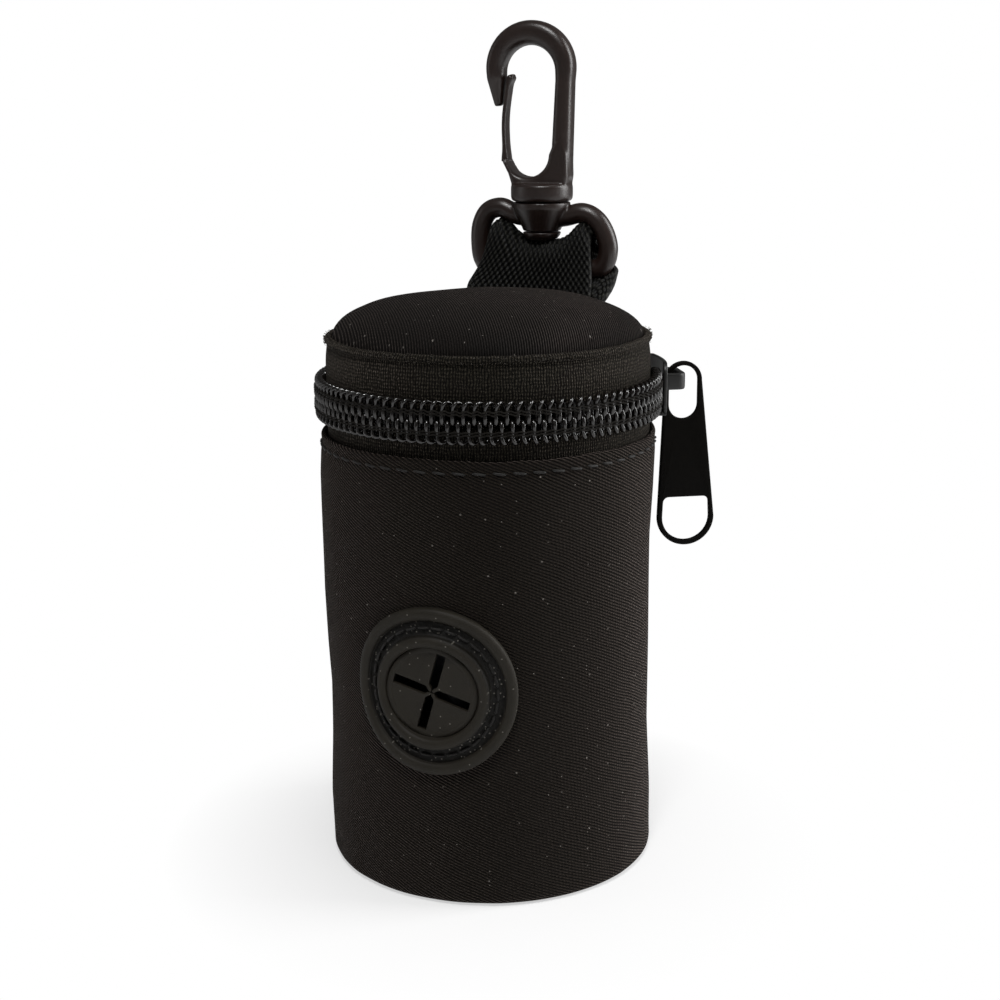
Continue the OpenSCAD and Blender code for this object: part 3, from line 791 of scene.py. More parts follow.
# %% [markdown]
# ## The zip's coils
# Each side of the zip is one nylon wire, wound into flat turns. A turn stands upright, its head reaches
# past the middle between two heads of the other coil, and at the tape the wire bends over sideways to
# the next turn. That bend is what shows as the slanting sparks along the top row. A continuous tube
# along this winding gives all of it, and a row of thread presses the turns down where the coil is sewn
# to the tape.

# %% Wind the coils
turns = 80
wire = 0.68
head_over = 0.5
puffed = 0.3
coil_mid_r = (coil_r + tape_r) / 2 + 0.15
coil_out = (coil_r - tape_r) / 2 - wire / 2 + 0.13


def coil_path(side, first_turn, last_turn, offset):
    """The wire's line; side is 1 for the lid's coil, whose tape lies above, and -1 for the pouch's."""
    q = np.linspace(0, 2 * math.pi, 22, endpoint=False)
    count = last_turn - first_turn
    number = np.repeat(np.arange(first_turn, last_turn), len(q))
    q = np.tile(q, count)
    reach = (coil_h + puffed + head_over - wire) / 2
    middle = zip_z + side * (coil_h + puffed - head_over) / 2
    flat = np.sign(np.cos(q)) * np.abs(np.cos(q)) ** 0.75
    height = middle - side * reach * flat
    dip = 0.36 * np.exp(-((q - 0.58 * math.pi) / 0.32) ** 2)
    radius = coil_mid_r + coil_out * np.sign(np.sin(q)) * np.abs(np.sin(q)) ** 0.7 - dip
    share = np.clip((q - 0.52 * math.pi) / (1.05 * math.pi), 0, 1)
    shift = share * share * (3 - 2 * share)
    angle = np.radians(zip_from + zip_sweep * (number + offset + shift) / turns)
    head = np.exp(-((np.cos(q) - 1) / 0.5) ** 2)
    size = np.stack([wire / 2 * (0.86 + 0.18 * head), wire / 2 * (1.0 - 0.1 * head)], -1)
    path = np.stack([radius * np.cos(angle), radius * np.sin(angle), height], -1)
    sideways = np.stack([-np.sin(angle), np.cos(angle), 0 * angle], -1)
    return path, size, sideways


def coil(name, side, first_turn, last_turn, offset, body, node):
    path, size, sideways = coil_path(side, first_turn, last_turn, offset)
    piece = grid_piece(name, [tube(path, size, sideways, sides=9)])
    return dress(piece, nylon, body, "zip_coil", node)


dark_thread = grained(
    "zip_thread", (0.003, 0.0026, 0.002), 0.7, 3800.0, 2.0,
    dark=(0.001, 0.0008, 0.0006), light=(0.014, 0.012, 0.0095), depth=0.04, Specular_IOR_Level=0.12,
)
nylon = grained(
    "black_nylon", (0.005, 0.004, 0.0035), 0.2, 1500.0, 3.0,
    dark=(0.0025, 0.002, 0.0016), light=(0.008, 0.0062, 0.0052), depth=0.02, Specular_IOR_Level=0.7,
)
coil_cut = 17
upper_last = int(turns * (1 - coil_cut / zip_sweep))
coil("lower_coil", -1, 0, turns - 1, 0.0, "pouch", "lower_zip_coil")
coil("upper_coil", 1, 0, upper_last, 0.5, "lid", "upper_zip_coil")


def coil_thread(name, side, last_turn, body):
    """The double row of thread that sews a coil down: it rises over each turn and dives between turns."""
    rows = []
    for lane in (-0.2, 0.2):
        step = np.arange(0, last_turn * 8)
        angle = np.radians(zip_from + zip_sweep * (step / 8 + 0.5) / turns)
        rise = np.cos(2 * math.pi * (step / 8 - (0.3 if side < 0 else 0.8)))
        radius = coil_r + 0.02 + 0.12 * rise
        height = zip_z + side * (coil_h * 0.5 + lane) + 0.1 * np.sin(math.pi * step / 4)
        path = np.stack([radius * np.cos(angle), radius * np.sin(angle), height], -1)
        rows.append(tube(path, 0.13, (0, 0, 1), sides=6))
    return dress(grid_piece(name, rows), dark_thread, body, "thread")


coil_thread("lower_coil_thread", -1, turns - 1, "pouch")
coil_thread("upper_coil_thread", 1, upper_last, "lid")

# %% [markdown]
# ## The lid's crown
# The crown is a round of twill over thick foam, sewn in all round, so its top is nearly flat and its
# shoulders are round. It is drawn in at the seam, where it puckers. A turned profile with a little
# unevenness gives the pad, and the twill is mapped from above, because a flat round of cloth is what
# was cut.

# %% Make the crown
crown_uneven = unevenness(41, finest=7, steepest=0.1)
crown_folds = unevenness(43, finest=26, steepest=0.1)
seam_puckers = unevenness(42, waves=20, finest=44, steepest=0.1)


def dome(radius, height, rows=44):
    """Evenly spaced points of the padded dome from its rim to its top."""
    t = np.linspace(0, math.pi / 2, 400)
    r, z = radius * np.cos(t) ** 0.8, seam_z + height * np.sin(t) ** 0.9
    length = np.concatenate([[0], np.cumsum(np.hypot(np.diff(r), np.diff(z)))])
    even = np.linspace(0, length[-1], rows)
    return [(max(a, 0.02), b) for a, b in zip(np.interp(even, length, r), np.interp(even, length, z))]


def crown_soften(radius, height, angle):
    rim = np.clip(radius / crown_r, 0, 1)
    tuck = np.exp(-((height - seam_z) / 1.6) ** 2)
    radius = radius * 0.972 - tuck * 0.16 * seam_puckers(angle, height) * rim
    folds = 0.16 * crown_folds(angle, height) * np.exp(-((rim - 0.82) / 0.12) ** 2)
    return radius, height + (0.34 * crown_uneven(angle, height) * rim + folds) * (1 - tuck)


def mapped_from_above(thing):
    """Lays the weave on a piece as seen from above, in millimetres."""
    chart = thing.data.uv_layers["cloth"].data
    for loop in thing.data.loops:
        point = thing.data.vertices[loop.vertex_index].co
        chart[loop.index].uv = (point.x / MM, point.y / MM)
    return thing


def dome_piece(name, outer, thickness):
    """One layer of the crown, from a depth below its skin to that depth plus its thickness."""
    inner = outer + thickness
    outside = dome(crown_r - outer, crown_top - seam_z - outer)
    inside = dome(crown_r - inner, crown_top - seam_z - inner)
    return turned(name, outside + inside[::-1], steps=200, soften=crown_soften)


foam_t, lining_t = 2.2, 0.4
crown = mapped_from_above(dome_piece("crown", 0, cloth))
dress(crown, crown_twill, "lid", "twill", "lid_top")
crown_pad = dome_piece("crown_foam", cloth + 0.05, foam_t)
dress(crown_pad, foam, "lid", "foam", "lid_foam")
crown_lining = mapped_from_above(dome_piece("crown_lining", cloth + foam_t + 0.1, lining_t))
dress(crown_lining, lining, "lid", "lining", "lid_lining")

# %% [markdown]
# ## The cloth hinge
# Behind, where the zip ends, one strip of twill joins the pouch and the lid and bends as the lid opens.
# It is made in one piece, with a soft crease along the zip.

# %% Make the hinge
hinge_half = 47
hinge_fold = unevenness(51, finest=30)


def hinge_soften(radius, height, angle):
    crease = np.exp(-((height - zip_z) / 0.8) ** 2)
    above_wall = np.clip((height - wall_top) / 0.6, 0, 1)
    radius = radius - (1 - above_wall) * np.clip(radius - tape_r, 0, 1)
    return radius - crease * (0.12 + 0.08 * hinge_fold(angle, height)), height


hinge = turned(
    "hinge_cloth", layer_profile(tape_in_r, panel_r, tape_low, seam_z - 0.05, 0.3, 60),
    start=90 - hinge_half, sweep=2 * hinge_half, steps=120, soften=hinge_soften,
)
fold_y, fold_half = 24.7, 3
bend_between(
    hinge, wall_twill, "twill", ("pouch", "lid"),
    (0, fold_y, zip_z - fold_half), (0, fold_y, zip_z + fold_half),
    "hinge_panel_lower", "hinge_panel_upper",
)

# %% [markdown]
# ## Stitches
# A stitch is a short length of thread that comes up through the cloth and dives again. Each is a small
# tube whose ends sink in, leaning a little, as a sewing machine leaves it.

# %% Sew the wall's top edge


def stitch(middle, along, out, length, thickness):
    """One stitch in millimetres: its middle, its direction, and the direction out of the cloth."""
    t = np.linspace(-1, 1, 9)
    lift = (1 - t ** 4) * thickness * 1.1 - thickness * 0.8
    path = middle + np.outer(t * length / 2, along) + np.outer(lift, out)
    size = thickness * np.sqrt(np.clip(1.02 - t ** 6, 0.05, 1))
    return tube(path, np.stack([size, size], -1), out, sides=8)


thread_r = 0.19
row = []
for number in range(stitch_count):
    angle = math.radians(360 * (number + 0.5) / stitch_count)
    out = np.array([math.cos(angle), math.sin(angle), 0.0])
    side = np.array([-math.sin(angle), math.cos(angle), 0.0])
    lean = side * math.cos(0.12) - np.array([0, 0, 1]) * math.sin(0.12)
    sewn_r = pouch_r + float(wall_swell(np.array(sewn_z), np.array(angle))) + 0.05
    row.append(stitch(out * sewn_r + np.array([0, 0, sewn_z]), lean, out, 2.0, thread_r))
dress(grid_piece("wall_stitches", row), thread, "pouch", "thread", "shell_top_stitching")

# %% [markdown]
# ## The rubber outlet
# The outlet is one soft moulding: a flange that is sewn to the cloth in a groove between two raised
# rings, and a thin membrane with a cross cut. Its profile is turned about the outlet's own axis and
# then laid round the pouch, so the flange follows the wall. The four petals between the cuts are
# separate, because each bends by itself.

# %% Mould the outlet
rubber = Finish("matt_rubber", (0.016, 0.0135, 0.0095), 0.6, Specular_IOR_Level=0.22)
mottled = rubber.noise(rubber.place, 320.0, 4.0)
fine = rubber.noise(rubber.place, 5200.0, 2.0)
across_rubber, _, up_rubber = rubber.parts(rubber.scaled(rubber.place, 1 / MM))
face = rubber.node("CombineXYZ", {0: across_rubber, 1: up_rubber}).outputs[0]
dust = rubber.specks(face, 1.5, 0.09, 0.3)
tone = rubber.blend(mottled, (0.0095, 0.0078, 0.005), (0.019, 0.0158, 0.0108))
to_middle = metres((0, 0, -outlet_z))
from_middle = rubber.node("VectorMath", {0: rubber.place, 1: to_middle}, operation="ADD").outputs[0]
flattened = rubber.node("VectorMath", {0: from_middle, 1: (1, 0, 1)}, operation="MULTIPLY").outputs[0]
off_axis = rubber.node("VectorMath", {0: flattened}, operation="LENGTH").outputs["Value"]
off_middle = rubber.math("DIVIDE", off_axis, MM)
in_groove = rubber.math("MULTIPLY", rubber.ramp(off_middle, 8.2, 8.6), rubber.ramp(off_middle, 10.7, 10.35))
# Painted shade: the groove between the two rings is coloured far darker than the rest of the rubber, with a
# noise through it. The same noise roughens the groove's floor.
groove_grain = rubber.noise(rubber.place, 2300.0, 3.0)
tone = rubber.blend(in_groove, tone, rubber.blend(groove_grain, (0.0006, 0.0005, 0.0003), (0.006, 0.005, 0.0035)))
caught = rubber.specks(face, 0.7, 0.1, 0.4)
dust = rubber.math("MAXIMUM", dust, rubber.math("MULTIPLY", caught, in_groove))
rubber.colour(rubber.blend(rubber.math("MULTIPLY", dust, 0.8), tone, (0.16, 0.15, 0.13)))
rough_floor = rubber.math("MULTIPLY", rubber.math("MULTIPLY", groove_grain, in_groove), 3.0)
rubber.bump(rubber.math("ADD", rubber.math("ADD", fine, dust), rough_floor), 0.04)

rim_w, rim_out, groove_out = 1.9, 1.4, 0.62
ring_r, bore_r, ring_out = 8.5, 6.8, 1.9
membrane_r = 5.9
membrane_out = 0.1
membrane_t = 0.7
neck_r = bore_r + 1


def bead(middle, half_width, foot, top, steps=14):
    """The section of a raised ring: half an ellipse on straight feet."""
    turn = np.linspace(0, math.pi, steps + 1)
    return [(middle + half_width * math.cos(t), foot + (top - foot) * math.sin(t) ** 0.6) for t in turn]


outlet_profile = (
    [(outlet_r - 0.05, 0.05)]
    + bead(outlet_r - rim_w / 2, rim_w / 2 - 0.05, 0.5, rim_out)
    + [(outlet_r - rim_w - 0.1, groove_out), (ring_r + 0.2, groove_out)]
    + bead((ring_r + bore_r) / 2, (ring_r - bore_r) / 2, 0.8, ring_out)
    + [(bore_r - 0.02, 0.78)]
)
neck_in = lining_in_r - pouch_r


def laid_round(radius, turn, out):
    """A point of the outlet: radius and turn about its own axis, out from the pouch's round wall."""
    round_by = radius * np.cos(turn) / (pouch_r + groove_out)
    x, y = (pouch_r + out) * np.sin(round_by), -(pouch_r + out) * np.cos(round_by)
    return np.stack([x, y, outlet_z + radius * np.sin(turn)], -1)


outlet_turn = 2 * math.pi * np.arange(128) / 128
front_grid = np.stack([laid_round(r, outlet_turn, h) for r, h in outlet_profile])
flat_front = -(pouch_r + membrane_out + membrane_t)
flat_back = -(pouch_r + membrane_out)


def flat_ring(radius, y):
    """A ring of points in the flat membrane."""
    x, up = radius * np.cos(outlet_turn), radius * np.sin(outlet_turn)
    return np.stack([x, 0 * outlet_turn + y, outlet_z + up], -1)


outlet_grid = np.concatenate([
    front_grid,
    [flat_ring(bore_r - 0.1, flat_front), flat_ring(membrane_r + 0.01, flat_front)],
    [flat_ring(membrane_r, flat_front + 0.01), flat_ring(membrane_r, flat_back - 0.12)],
    [flat_ring(membrane_r + 0.12, flat_back), flat_ring(bore_r - 0.05, flat_back)],
    [laid_round(bore_r, outlet_turn, neck_in + 0.2), laid_round(bore_r + 0.2, outlet_turn, neck_in)],
    [laid_round(neck_r - 0.2, outlet_turn, neck_in), laid_round(neck_r, outlet_turn, neck_in + 0.2)],
    [laid_round(neck_r, outlet_turn, 0.02), laid_round(outlet_r - 0.1, outlet_turn, 0.02)],
])
outlet = grid_piece("outlet_ring", [outlet_grid], wrap_rows=True)
dress(outlet, rubber, "pouch", "rubber", "outlet_grommet")

# %% [markdown]
# The petals are quarter discs with rounded edges, cut from a flat outline. A filled curve with a small
# bevel makes such a plate with clean edges, and turning it into a mesh lets it be placed like the rest.

# %% Cut the petals


def plate(name, outlines, thickness, bevel, steps=3):
    """A flat plate from closed outlines (x, y) in millimetres, holes included, with rounded edges."""
    curve = bpy.data.curves.new(name, "CURVE")
    curve.dimensions = "2D"
    curve.fill_mode = "BOTH"
    curve.extrude = thickness / 2 - bevel
    curve.bevel_depth = bevel
    curve.offset = -bevel
    curve.bevel_resolution = steps
    for outline in outlines:
        line = curve.splines.new("POLY")
        line.points.add(len(outline) - 1)
        for point, (x, y) in zip(line.points, outline):
            point.co = (x, y, 0, 1)
        line.use_cyclic_u = True
    flat = bpy.data.objects.new(name, curve)
    bpy.context.scene.collection.objects.link(flat)
    mesh = bpy.data.meshes.new_from_object(flat.evaluated_get(bpy.context.evaluated_depsgraph_get()))
    bpy.data.objects.remove(flat)
    work = bmesh.new()
    work.from_mesh(mesh)
    bmesh.ops.remove_doubles(work, verts=work.verts, dist=1e-4)
    bmesh.ops.recalc_face_normals(work, faces=work.faces)
    work.to_mesh(mesh)
    work.free()
    mesh.transform(Matrix.Scale(MM, 4))
    mesh.shade_smooth()
    mesh.set_sharp_from_angle(angle=math.radians(50))
    return new_object(name, mesh)


slot_w, petal_r, slot_turn = 1.4, 6.1, 16
root_r, free_r = 6.0, 4.4
tip_gap = 0.08
start_a = math.degrees(math.asin(slot_w / 2 / petal_r))
petal_outline = (
    arc((0, 0), petal_r, start_a, 90 - start_a, 16)
    + [(slot_w / 2, 3.2), (slot_w / 2 - 0.03, 1.2), (slot_w / 2 - 0.12, 0.9), (tip_gap + 0.16, 0.6)]
    + [(tip_gap, 0.4), (tip_gap, tip_gap), (0.4, tip_gap)]
    + [(0.6, tip_gap + 0.16), (0.9, slot_w / 2 - 0.12), (1.2, slot_w / 2 - 0.03), (3.2, slot_w / 2)]
)


def petal(number):
    """One petal: its rim is held in the membrane."""
    turn = math.radians(90 * (number - 1) - slot_turn)
    root = turn + math.radians(45)

    def stand_up(points):
        x = points[:, 0] * math.cos(turn) - points[:, 1] * math.sin(turn)
        up = points[:, 0] * math.sin(turn) + points[:, 1] * math.cos(turn)
        return np.stack([x, -(pouch_r + membrane_out + membrane_t / 2) - points[:, 2], outlet_z + up], -1)

    def on_root(radius):
        return (radius * math.cos(root), flat_front, outlet_z + radius * math.sin(root))

    flat = plate(f"petal_rubber_{number}", [petal_outline], membrane_t - 0.015, 0.06)
    sliced(flat, petal_r, 0.5)
    bodies = ("pouch", f"petal_{number}")
    flap = f"outlet_flap_{number}"
    bend_between(moved(flat, stand_up), rubber, "rubber", bodies, on_root(root_r), on_root(free_r), flap)


def sliced(thing, reach, step):
    """Cuts a flat piece into strips along x and y, so that it can bend."""
    work = bmesh.new()
    work.from_mesh(thing.data)
    for cut in np.arange(-reach, reach, step):
        for direction in ((1, 0, 0), (0, 1, 0)):
            everything = [*work.verts, *work.edges, *work.faces]
            place = [side * cut * MM for side in direction]
            bmesh.ops.bisect_plane(work, geom=everything, plane_co=place, plane_no=direction)
    work.to_mesh(thing.data)
    work.free()


for number in (1, 2, 3, 4):
    petal(number)

# %% [markdown]
# The thread in the groove runs round between the two rings. Lint gathers there.

# %% Sew the outlet on
flange_stitches = 30
row_r = (ring_r + outlet_r - rim_w) / 2
row = []
for number in range(flange_stitches):
    turn = 2 * math.pi * number / flange_stitches
    here = laid_round(np.array(row_r), np.array(turn), np.array(groove_out + 0.12))
    ahead = laid_round(np.array(row_r), np.array(turn + 0.05), np.array(groove_out + 0.12)) - here
    out = np.array([here[0], here[1], 0.0]) / math.hypot(here[0], here[1])
    row.append(stitch(here, ahead / np.linalg.norm(ahead), out, 1.75, 0.19))
dress(grid_piece("outlet_stitches", row), thread, "pouch", "thread", "grommet_stitching")

# %% [markdown]
# ## The slider and its pull
# The slider is die-cast and painted black. Two curved plates hold the coils between them, an arch
# stands out from the front plate, and the flat pull hangs from it by an eye that is too large to bind.
# All of it is cut from flat outlines; the plates are then sliced and bent round the pouch.

# %% Cast the slider
painted = Finish("black_paint", (0.006, 0.006, 0.0055), 0.42, Specular_IOR_Level=0.45)
skin = painted.noise(painted.place, 900.0, 4.0)
worn = painted.specks(painted.scaled(painted.place, 1000.0), 2.4, 0.1, 0.12)
chips = painted.math("MULTIPLY", worn, 0.25)
painted.colour(painted.blend(chips, (0.005, 0.005, 0.0045), (0.09, 0.085, 0.08)))
painted.bump(skin, 0.02)

slider_at = math.radians(27.5)
slider_l = 11.5
slider_t = 0.6
slider_low, slider_high = span("zip_slider")
plate_low, plate_top = slider_low[2], slider_high[2]
plate_in_r = coil_r + 0.3
inner_plate_r = tape_in_r - 0.2


def rounded_box(width, height, corner, centre=(0, 0), steps=5):
    """The outline of a rectangle with round corners."""
    points = []
    for sx, sy, start in ((1, -1, -90), (1, 1, 0), (-1, 1, 90), (-1, -1, 180)):
        middle = (centre[0] + sx * (width / 2 - corner), centre[1] + sy * (height / 2 - corner))
        points += arc(middle, corner, start, start + 90, steps)
    return points


def bent_plate(name, outline, thickness, radius, bevel=0.15):
    """A plate bent round the pouch's axis at the slider's place; its x runs round and its y runs up."""
    flat = plate(name, [outline], thickness, bevel)
    work = bmesh.new()
    work.from_mesh(flat.data)
    for cut in np.arange(-slider_l / 2 + 0.8, slider_l / 2, 0.8):
        everything = [*work.verts, *work.edges, *work.faces]
        bmesh.ops.bisect_plane(work, geom=everything, plane_co=(cut * MM, 0, 0), plane_no=(1, 0, 0))
    work.to_mesh(flat.data)
    work.free()

    def bend(points):
        angle = slider_at + points[:, 0] / radius
        r = radius + points[:, 2]
        return np.stack([r * np.cos(angle), r * np.sin(angle), points[:, 1]], -1)

    return moved(flat, bend)


def joined(name, parts):
    """Joins finished meshes into one piece."""
    work = bmesh.new()
    for part in parts:
        work.from_mesh(part.data)
        bpy.data.objects.remove(part)
    mesh = bpy.data.meshes.new(name)
    work.to_mesh(mesh)
    work.free()
    mesh.shade_smooth()
    mesh.set_sharp_from_angle(angle=math.radians(50))
    return new_object(name, mesh)


plate_mid = (plate_low + plate_top) / 2
plate_h = plate_top - plate_low
plate_outline = rounded_box(slider_l, plate_h, 1.8, (0, plate_mid))
outer_plate = bent_plate("outer_plate", plate_outline, slider_t, plate_in_r + slider_t / 2, 0.2)
inner_plate = bent_plate("inner_plate", plate_outline, slider_t, inner_plate_r - slider_t / 2, 0.2)
flange_outline = rounded_box(slider_l - 1.6, slider_t, 0.2, (0, plate_low + slider_t / 2))
flange_t = plate_in_r + slider_t - tape_r - 0.25
flange = bent_plate("flange", flange_outline, flange_t, tape_r + 0.2 + flange_t / 2, 0.1)


def bridge(points):
    """Carries the wedge from the inner plate to the outer one, at the end where the coils meet."""
    angle = slider_at + math.radians(10.5) + points[:, 0] / pouch_r
    r = (inner_plate_r - slider_t + plate_in_r + slider_t) / 2 + points[:, 2]
    return np.stack([r * np.cos(angle), r * np.sin(angle), zip_z + 0.4 + points[:, 1]], -1)


wedge_reach = plate_in_r - inner_plate_r + slider_t
wedge = moved(plate("wedge", [rounded_box(1.3, 0.76, 0.2)], wedge_reach, 0.1), bridge)

eye_r, eye_gap = 2.9, 0.4
pivot_z = span("zip_pull")[1][2] - eye_r
pivot_r = plate_in_r + slider_t + eye_gap + eye_r
arch_low, arch_h, arch_l, arch_t = pivot_z - 0.95, 2.5, 6.4, 0.85


def arch_path():
    """The arch's strip seen from above: out of the plate, along it, and back in, with round corners."""
    out_x = pivot_r - arch_t / 2 - 0.25
    root = plate_in_r + slider_t - 0.25
    half = arch_l / 2 - arch_t / 2
    corner = 0.9
    line = [(root, -half)]
    line += arc((out_x - corner, -half + corner), corner, -90, 0, 6)
    line += arc((out_x - corner, half - corner), corner, 0, 90, 6)
    line += [(root, half)]
    c, s = math.cos(slider_at), math.sin(slider_at)
    return np.array([(x * c - y * s, x * s + y * c, arch_low + arch_h / 2) for x, y in line])


arch_grid = tube(arch_path(), (arch_h / 2, arch_t / 2), (0, 0, 1), sides=20, power=0.35)
arch_piece = grid_piece("arch", [arch_grid])
slider = joined("slider_body", [outer_plate, inner_plate, flange, wedge, arch_piece])
dress(slider, painted, "slider", "slider_metal", "zip_slider")

# %% [markdown]
# The pull is a flat stamping with two holes: a round-ended eye that hangs on the arch, and a finger
# hole with rounded corners. It is coated with a black enamel that hardly shines.

# %% Cut the pull
pull_t = 0.9
eye_hole_r, eye_hole_h = 2.25, 8.2
finger_r, finger_hole_r, finger_hole_h = 4.5, 3.7, 6.9
finger = (0.7, -21.5)
hole_top = finger[1] - finger_hole_r + finger_hole_h
corner_r = 0.9
pull_outline = arc(finger, finger_r, 180, 360, 32) + arc((0, 0), eye_r, 0, 180, 32)
eye_hole_low = (0, 2 * eye_hole_r - eye_hole_h)
eye_hole = arc(eye_hole_low, eye_hole_r, 180, 360, 20) + arc((0, 0), eye_hole_r, 0, 180, 20)
corner_in = finger_hole_r - corner_r - 0.1
finger_hole = (
    arc(finger, finger_hole_r, 180, 360, 24)
    + arc((finger[0] + corner_in, hole_top - corner_r), corner_r, 0, 90, 6)
    + arc((finger[0] - corner_in, hole_top - corner_r), corner_r, 90, 180, 6)
)


def hang(points):
    """Hangs the flat pull from the slider's arch."""
    c, s = math.cos(slider_at), math.sin(slider_at)
    r = pivot_r + points[:, 0]
    return np.stack([r * c - points[:, 2] * s, r * s + points[:, 2] * c, pivot_z + points[:, 1]], -1)


enamel = grained(
    "pull_enamel", (0.0014, 0.0011, 0.0006), 0.55, 700.0, 3.0,
    dark=(0.0008, 0.0006, 0.0003), light=(0.0024, 0.0018, 0.001), depth=0.02, Specular_IOR_Level=0.07,
)
pull = moved(plate("pull_tab", [pull_outline, eye_hole, finger_hole], pull_t, 0.22), hang)
dress(pull, enamel, "pull", "pull_metal", "zip_pull")

# %% [markdown]
# ## The webbing loop
# The loop is a piece of coarse 20 mm webbing, sewn into the seam behind the crown and folded over the
# bar of the swivel eye. The ring is narrower than the webbing, so the webbing bunches at the top: it
# humps up on both sides and sags in the middle. Both of its ends follow the round seam and are pinched
# thin in it. The basket weave is large enough to see, so it is made in the mesh: each crossing of the
# yarns stands up as a small dome.

# %% Weave the loop
bar_y = 27.0
bar_z = span("swivel_eye")[0][2] + 1.6
strap_t, strap_half = 1.3, 10.3
yarn_u, yarn_v = 0.47, 0.72
front_y, rear_y = 24.1 + strap_t / 2, 26.15
behind_bar, above_bar = 2.3, 2.75
strap_left, strap_right = -11.5, 9.3
hump_left, hump_right, tucked_x = -6.7, 7.2, -10.8
root_z, free_z = seam_z - 0.3, seam_z + 4


def strap_line(share):
    """Where the strap's middle runs: (y, z) for each share of its length, root to root over the bar."""
    turn_z = bar_z + 0.3
    ply_l, loop_l = turn_z - root_z, math.pi * (bar_y - front_y + 2.25) / 2
    total = ply_l * 2 + loop_l
    at = share * total
    turn = np.clip((at - ply_l) / loop_l, 0, 1) * math.pi
    to_turn = np.clip(ply_l - at, 0, None)
    past_turn = np.clip((at - ply_l - loop_l) / ply_l, 0, 1)
    drawn_in = (bar_y + behind_bar - rear_y) * np.clip(past_turn * 1.25, 0, 1) ** 0.8
    y = bar_y - np.cos(turn) * np.where(turn < math.pi / 2, bar_y - front_y, behind_bar) - drawn_in
    z = turn_z + np.sin(turn) * above_bar - to_turn - past_turn * ply_l
    return y, z, total


rows_n, across_n = 210, 150
share = np.linspace(0, 1, rows_n)[:, None]
line_y, line_z, strap_l = strap_line(share)
section = np.linspace(0, 2, 2 * across_n, endpoint=False)[None]
across = 1 - 2 * np.abs(section - 1)
front_face = np.where(section < 1, 1.0, -1.0)
edge = np.clip((1 - np.abs(across)) / 0.09, 0, 1)
half_t = strap_t / 2 * np.sqrt(edge * (2 - edge))


def between(value, start, end):
    """Goes smoothly from 0 to 1 as the value goes from start to end."""
    part = np.clip((value - start) / (end - start), 0, 1)
    return part * part * (3 - 2 * part)


in_ring = between(share, 0.2, 0.42) * (1 - between(share, 0.58, 0.7))
rear = between(share, 0.5, 0.7)
left_x = strap_left + 2.8 * in_ring + 1.6 * rear * (1 - in_ring)
right_x = strap_right - 0.5 * in_ring + 3.3 * rear * (1 - in_ring) - 2.0 * between(share, 0.75, 1.0)
x = (left_x + right_x) / 2 + (right_x - left_x) / 2 * across
over_bar = np.exp(-((share - 0.5) / 0.2) ** 4)
left_hump = 3.3 * np.exp(-((x - hump_left) / 2.7) ** 2)
right_hump = 3.0 * np.exp(-((x - hump_right) / 2.4) ** 2)
humps = left_hump + right_hump + 0.9
tucked = (1 - between(share, 0.15, 0.45)) * np.exp(-((x - tucked_x) / 1.8) ** 2)
strap_waves = unevenness(61, finest=9, steepest=0.5)
from_root = strap_l * np.minimum(share, 1 - share)
rooted = 1 - between(from_root, 0.5, 9.0)
seam_round = panel_r - np.sqrt(panel_r**2 - x**2)
seam_pull = np.where(share < 0.5, 0.3, 1.2)
y = line_y + 0.2 * strap_waves(x / 9, line_z) * (0.3 + over_bar) - 0.5 * tucked
y = y - rooted * (seam_round + seam_pull)
half_t = half_t * (0.4 + 0.6 * between(from_root, 0.2, 2.4))
z = line_z + over_bar * humps + 0 * x
ahead_y, ahead_z = np.gradient(y, axis=0), np.gradient(z, axis=0)
norm = np.hypot(ahead_y, ahead_z)
out_y, out_z = -ahead_z / norm, ahead_y / norm
u = across * strap_half + 0 * x
v = np.cumsum(norm, axis=0)
cell = np.sin(math.pi * u / yarn_u) * np.sin(math.pi * v / yarn_v)
weave = 0.15 * np.sign(cell) * np.abs(cell) ** 0.6
thick = front_face * (half_t + weave * edge)
strap_grid = np.stack([x, y + out_y * thick, z + out_z * thick], -1)
strap_map = np.stack([np.concatenate([u, u[:, :1]], 1), np.concatenate([v, v[:, :1]], 1)], -1)

webbing = Finish("black_webbing", (0.004, 0.004, 0.004), 0.5, Specular_IOR_Level=0.16)
wu, wv, _ = webbing.parts(webbing.cloth)
over_u = webbing.math("SINE", webbing.math("MULTIPLY", wu, math.pi / yarn_u))
over_v = webbing.math("SINE", webbing.math("MULTIPLY", wv, math.pi / yarn_v))
crossing = webbing.math("MULTIPLY", over_u, over_v)
fibres = webbing.noise(webbing.cloth, 6.0, 3.0)
uneven_crests = webbing.ramp(fibres, 0.3, 0.7, 0.5, 1.1)
# Painted light and shade: the crests of the crossings are painted lighter and the hollows between them
# darker, unevenly along the yarns.
crest = webbing.math("MULTIPLY", webbing.ramp(crossing, -0.1, 0.9), uneven_crests)
webbing.colour(webbing.blend(crest, (0.0005, 0.0005, 0.0004), (0.024, 0.0235, 0.0195)))
webbing.bump(webbing.math("ADD", crest, webbing.math("MULTIPLY", fibres, 0.4)), 0.06)
strap = grid_piece("webbing_strap", [strap_grid], [strap_map])
sewn_at, free_at = (0, fold_y, root_z), (0, fold_y, free_z)
bend_between(strap, webbing, "webbing", ("lid", "strap"), sewn_at, free_at, "webbing_loop")
print(f"webbing {2 * strap_half:.1f} mm wide and {strap_l:.1f} mm long")

# %% [markdown]
# ## The swivel hook
# The eye, the hub and the hook are moulded in one kind of half-glossy plastic, dark brown-black. On
# such a moulding every corner is round and the parts flow into each other. So each part is first made
# roughly, as rods, plates and turned shapes, and then a voxel remesh melts them into one skin that is
# smoothed a little.

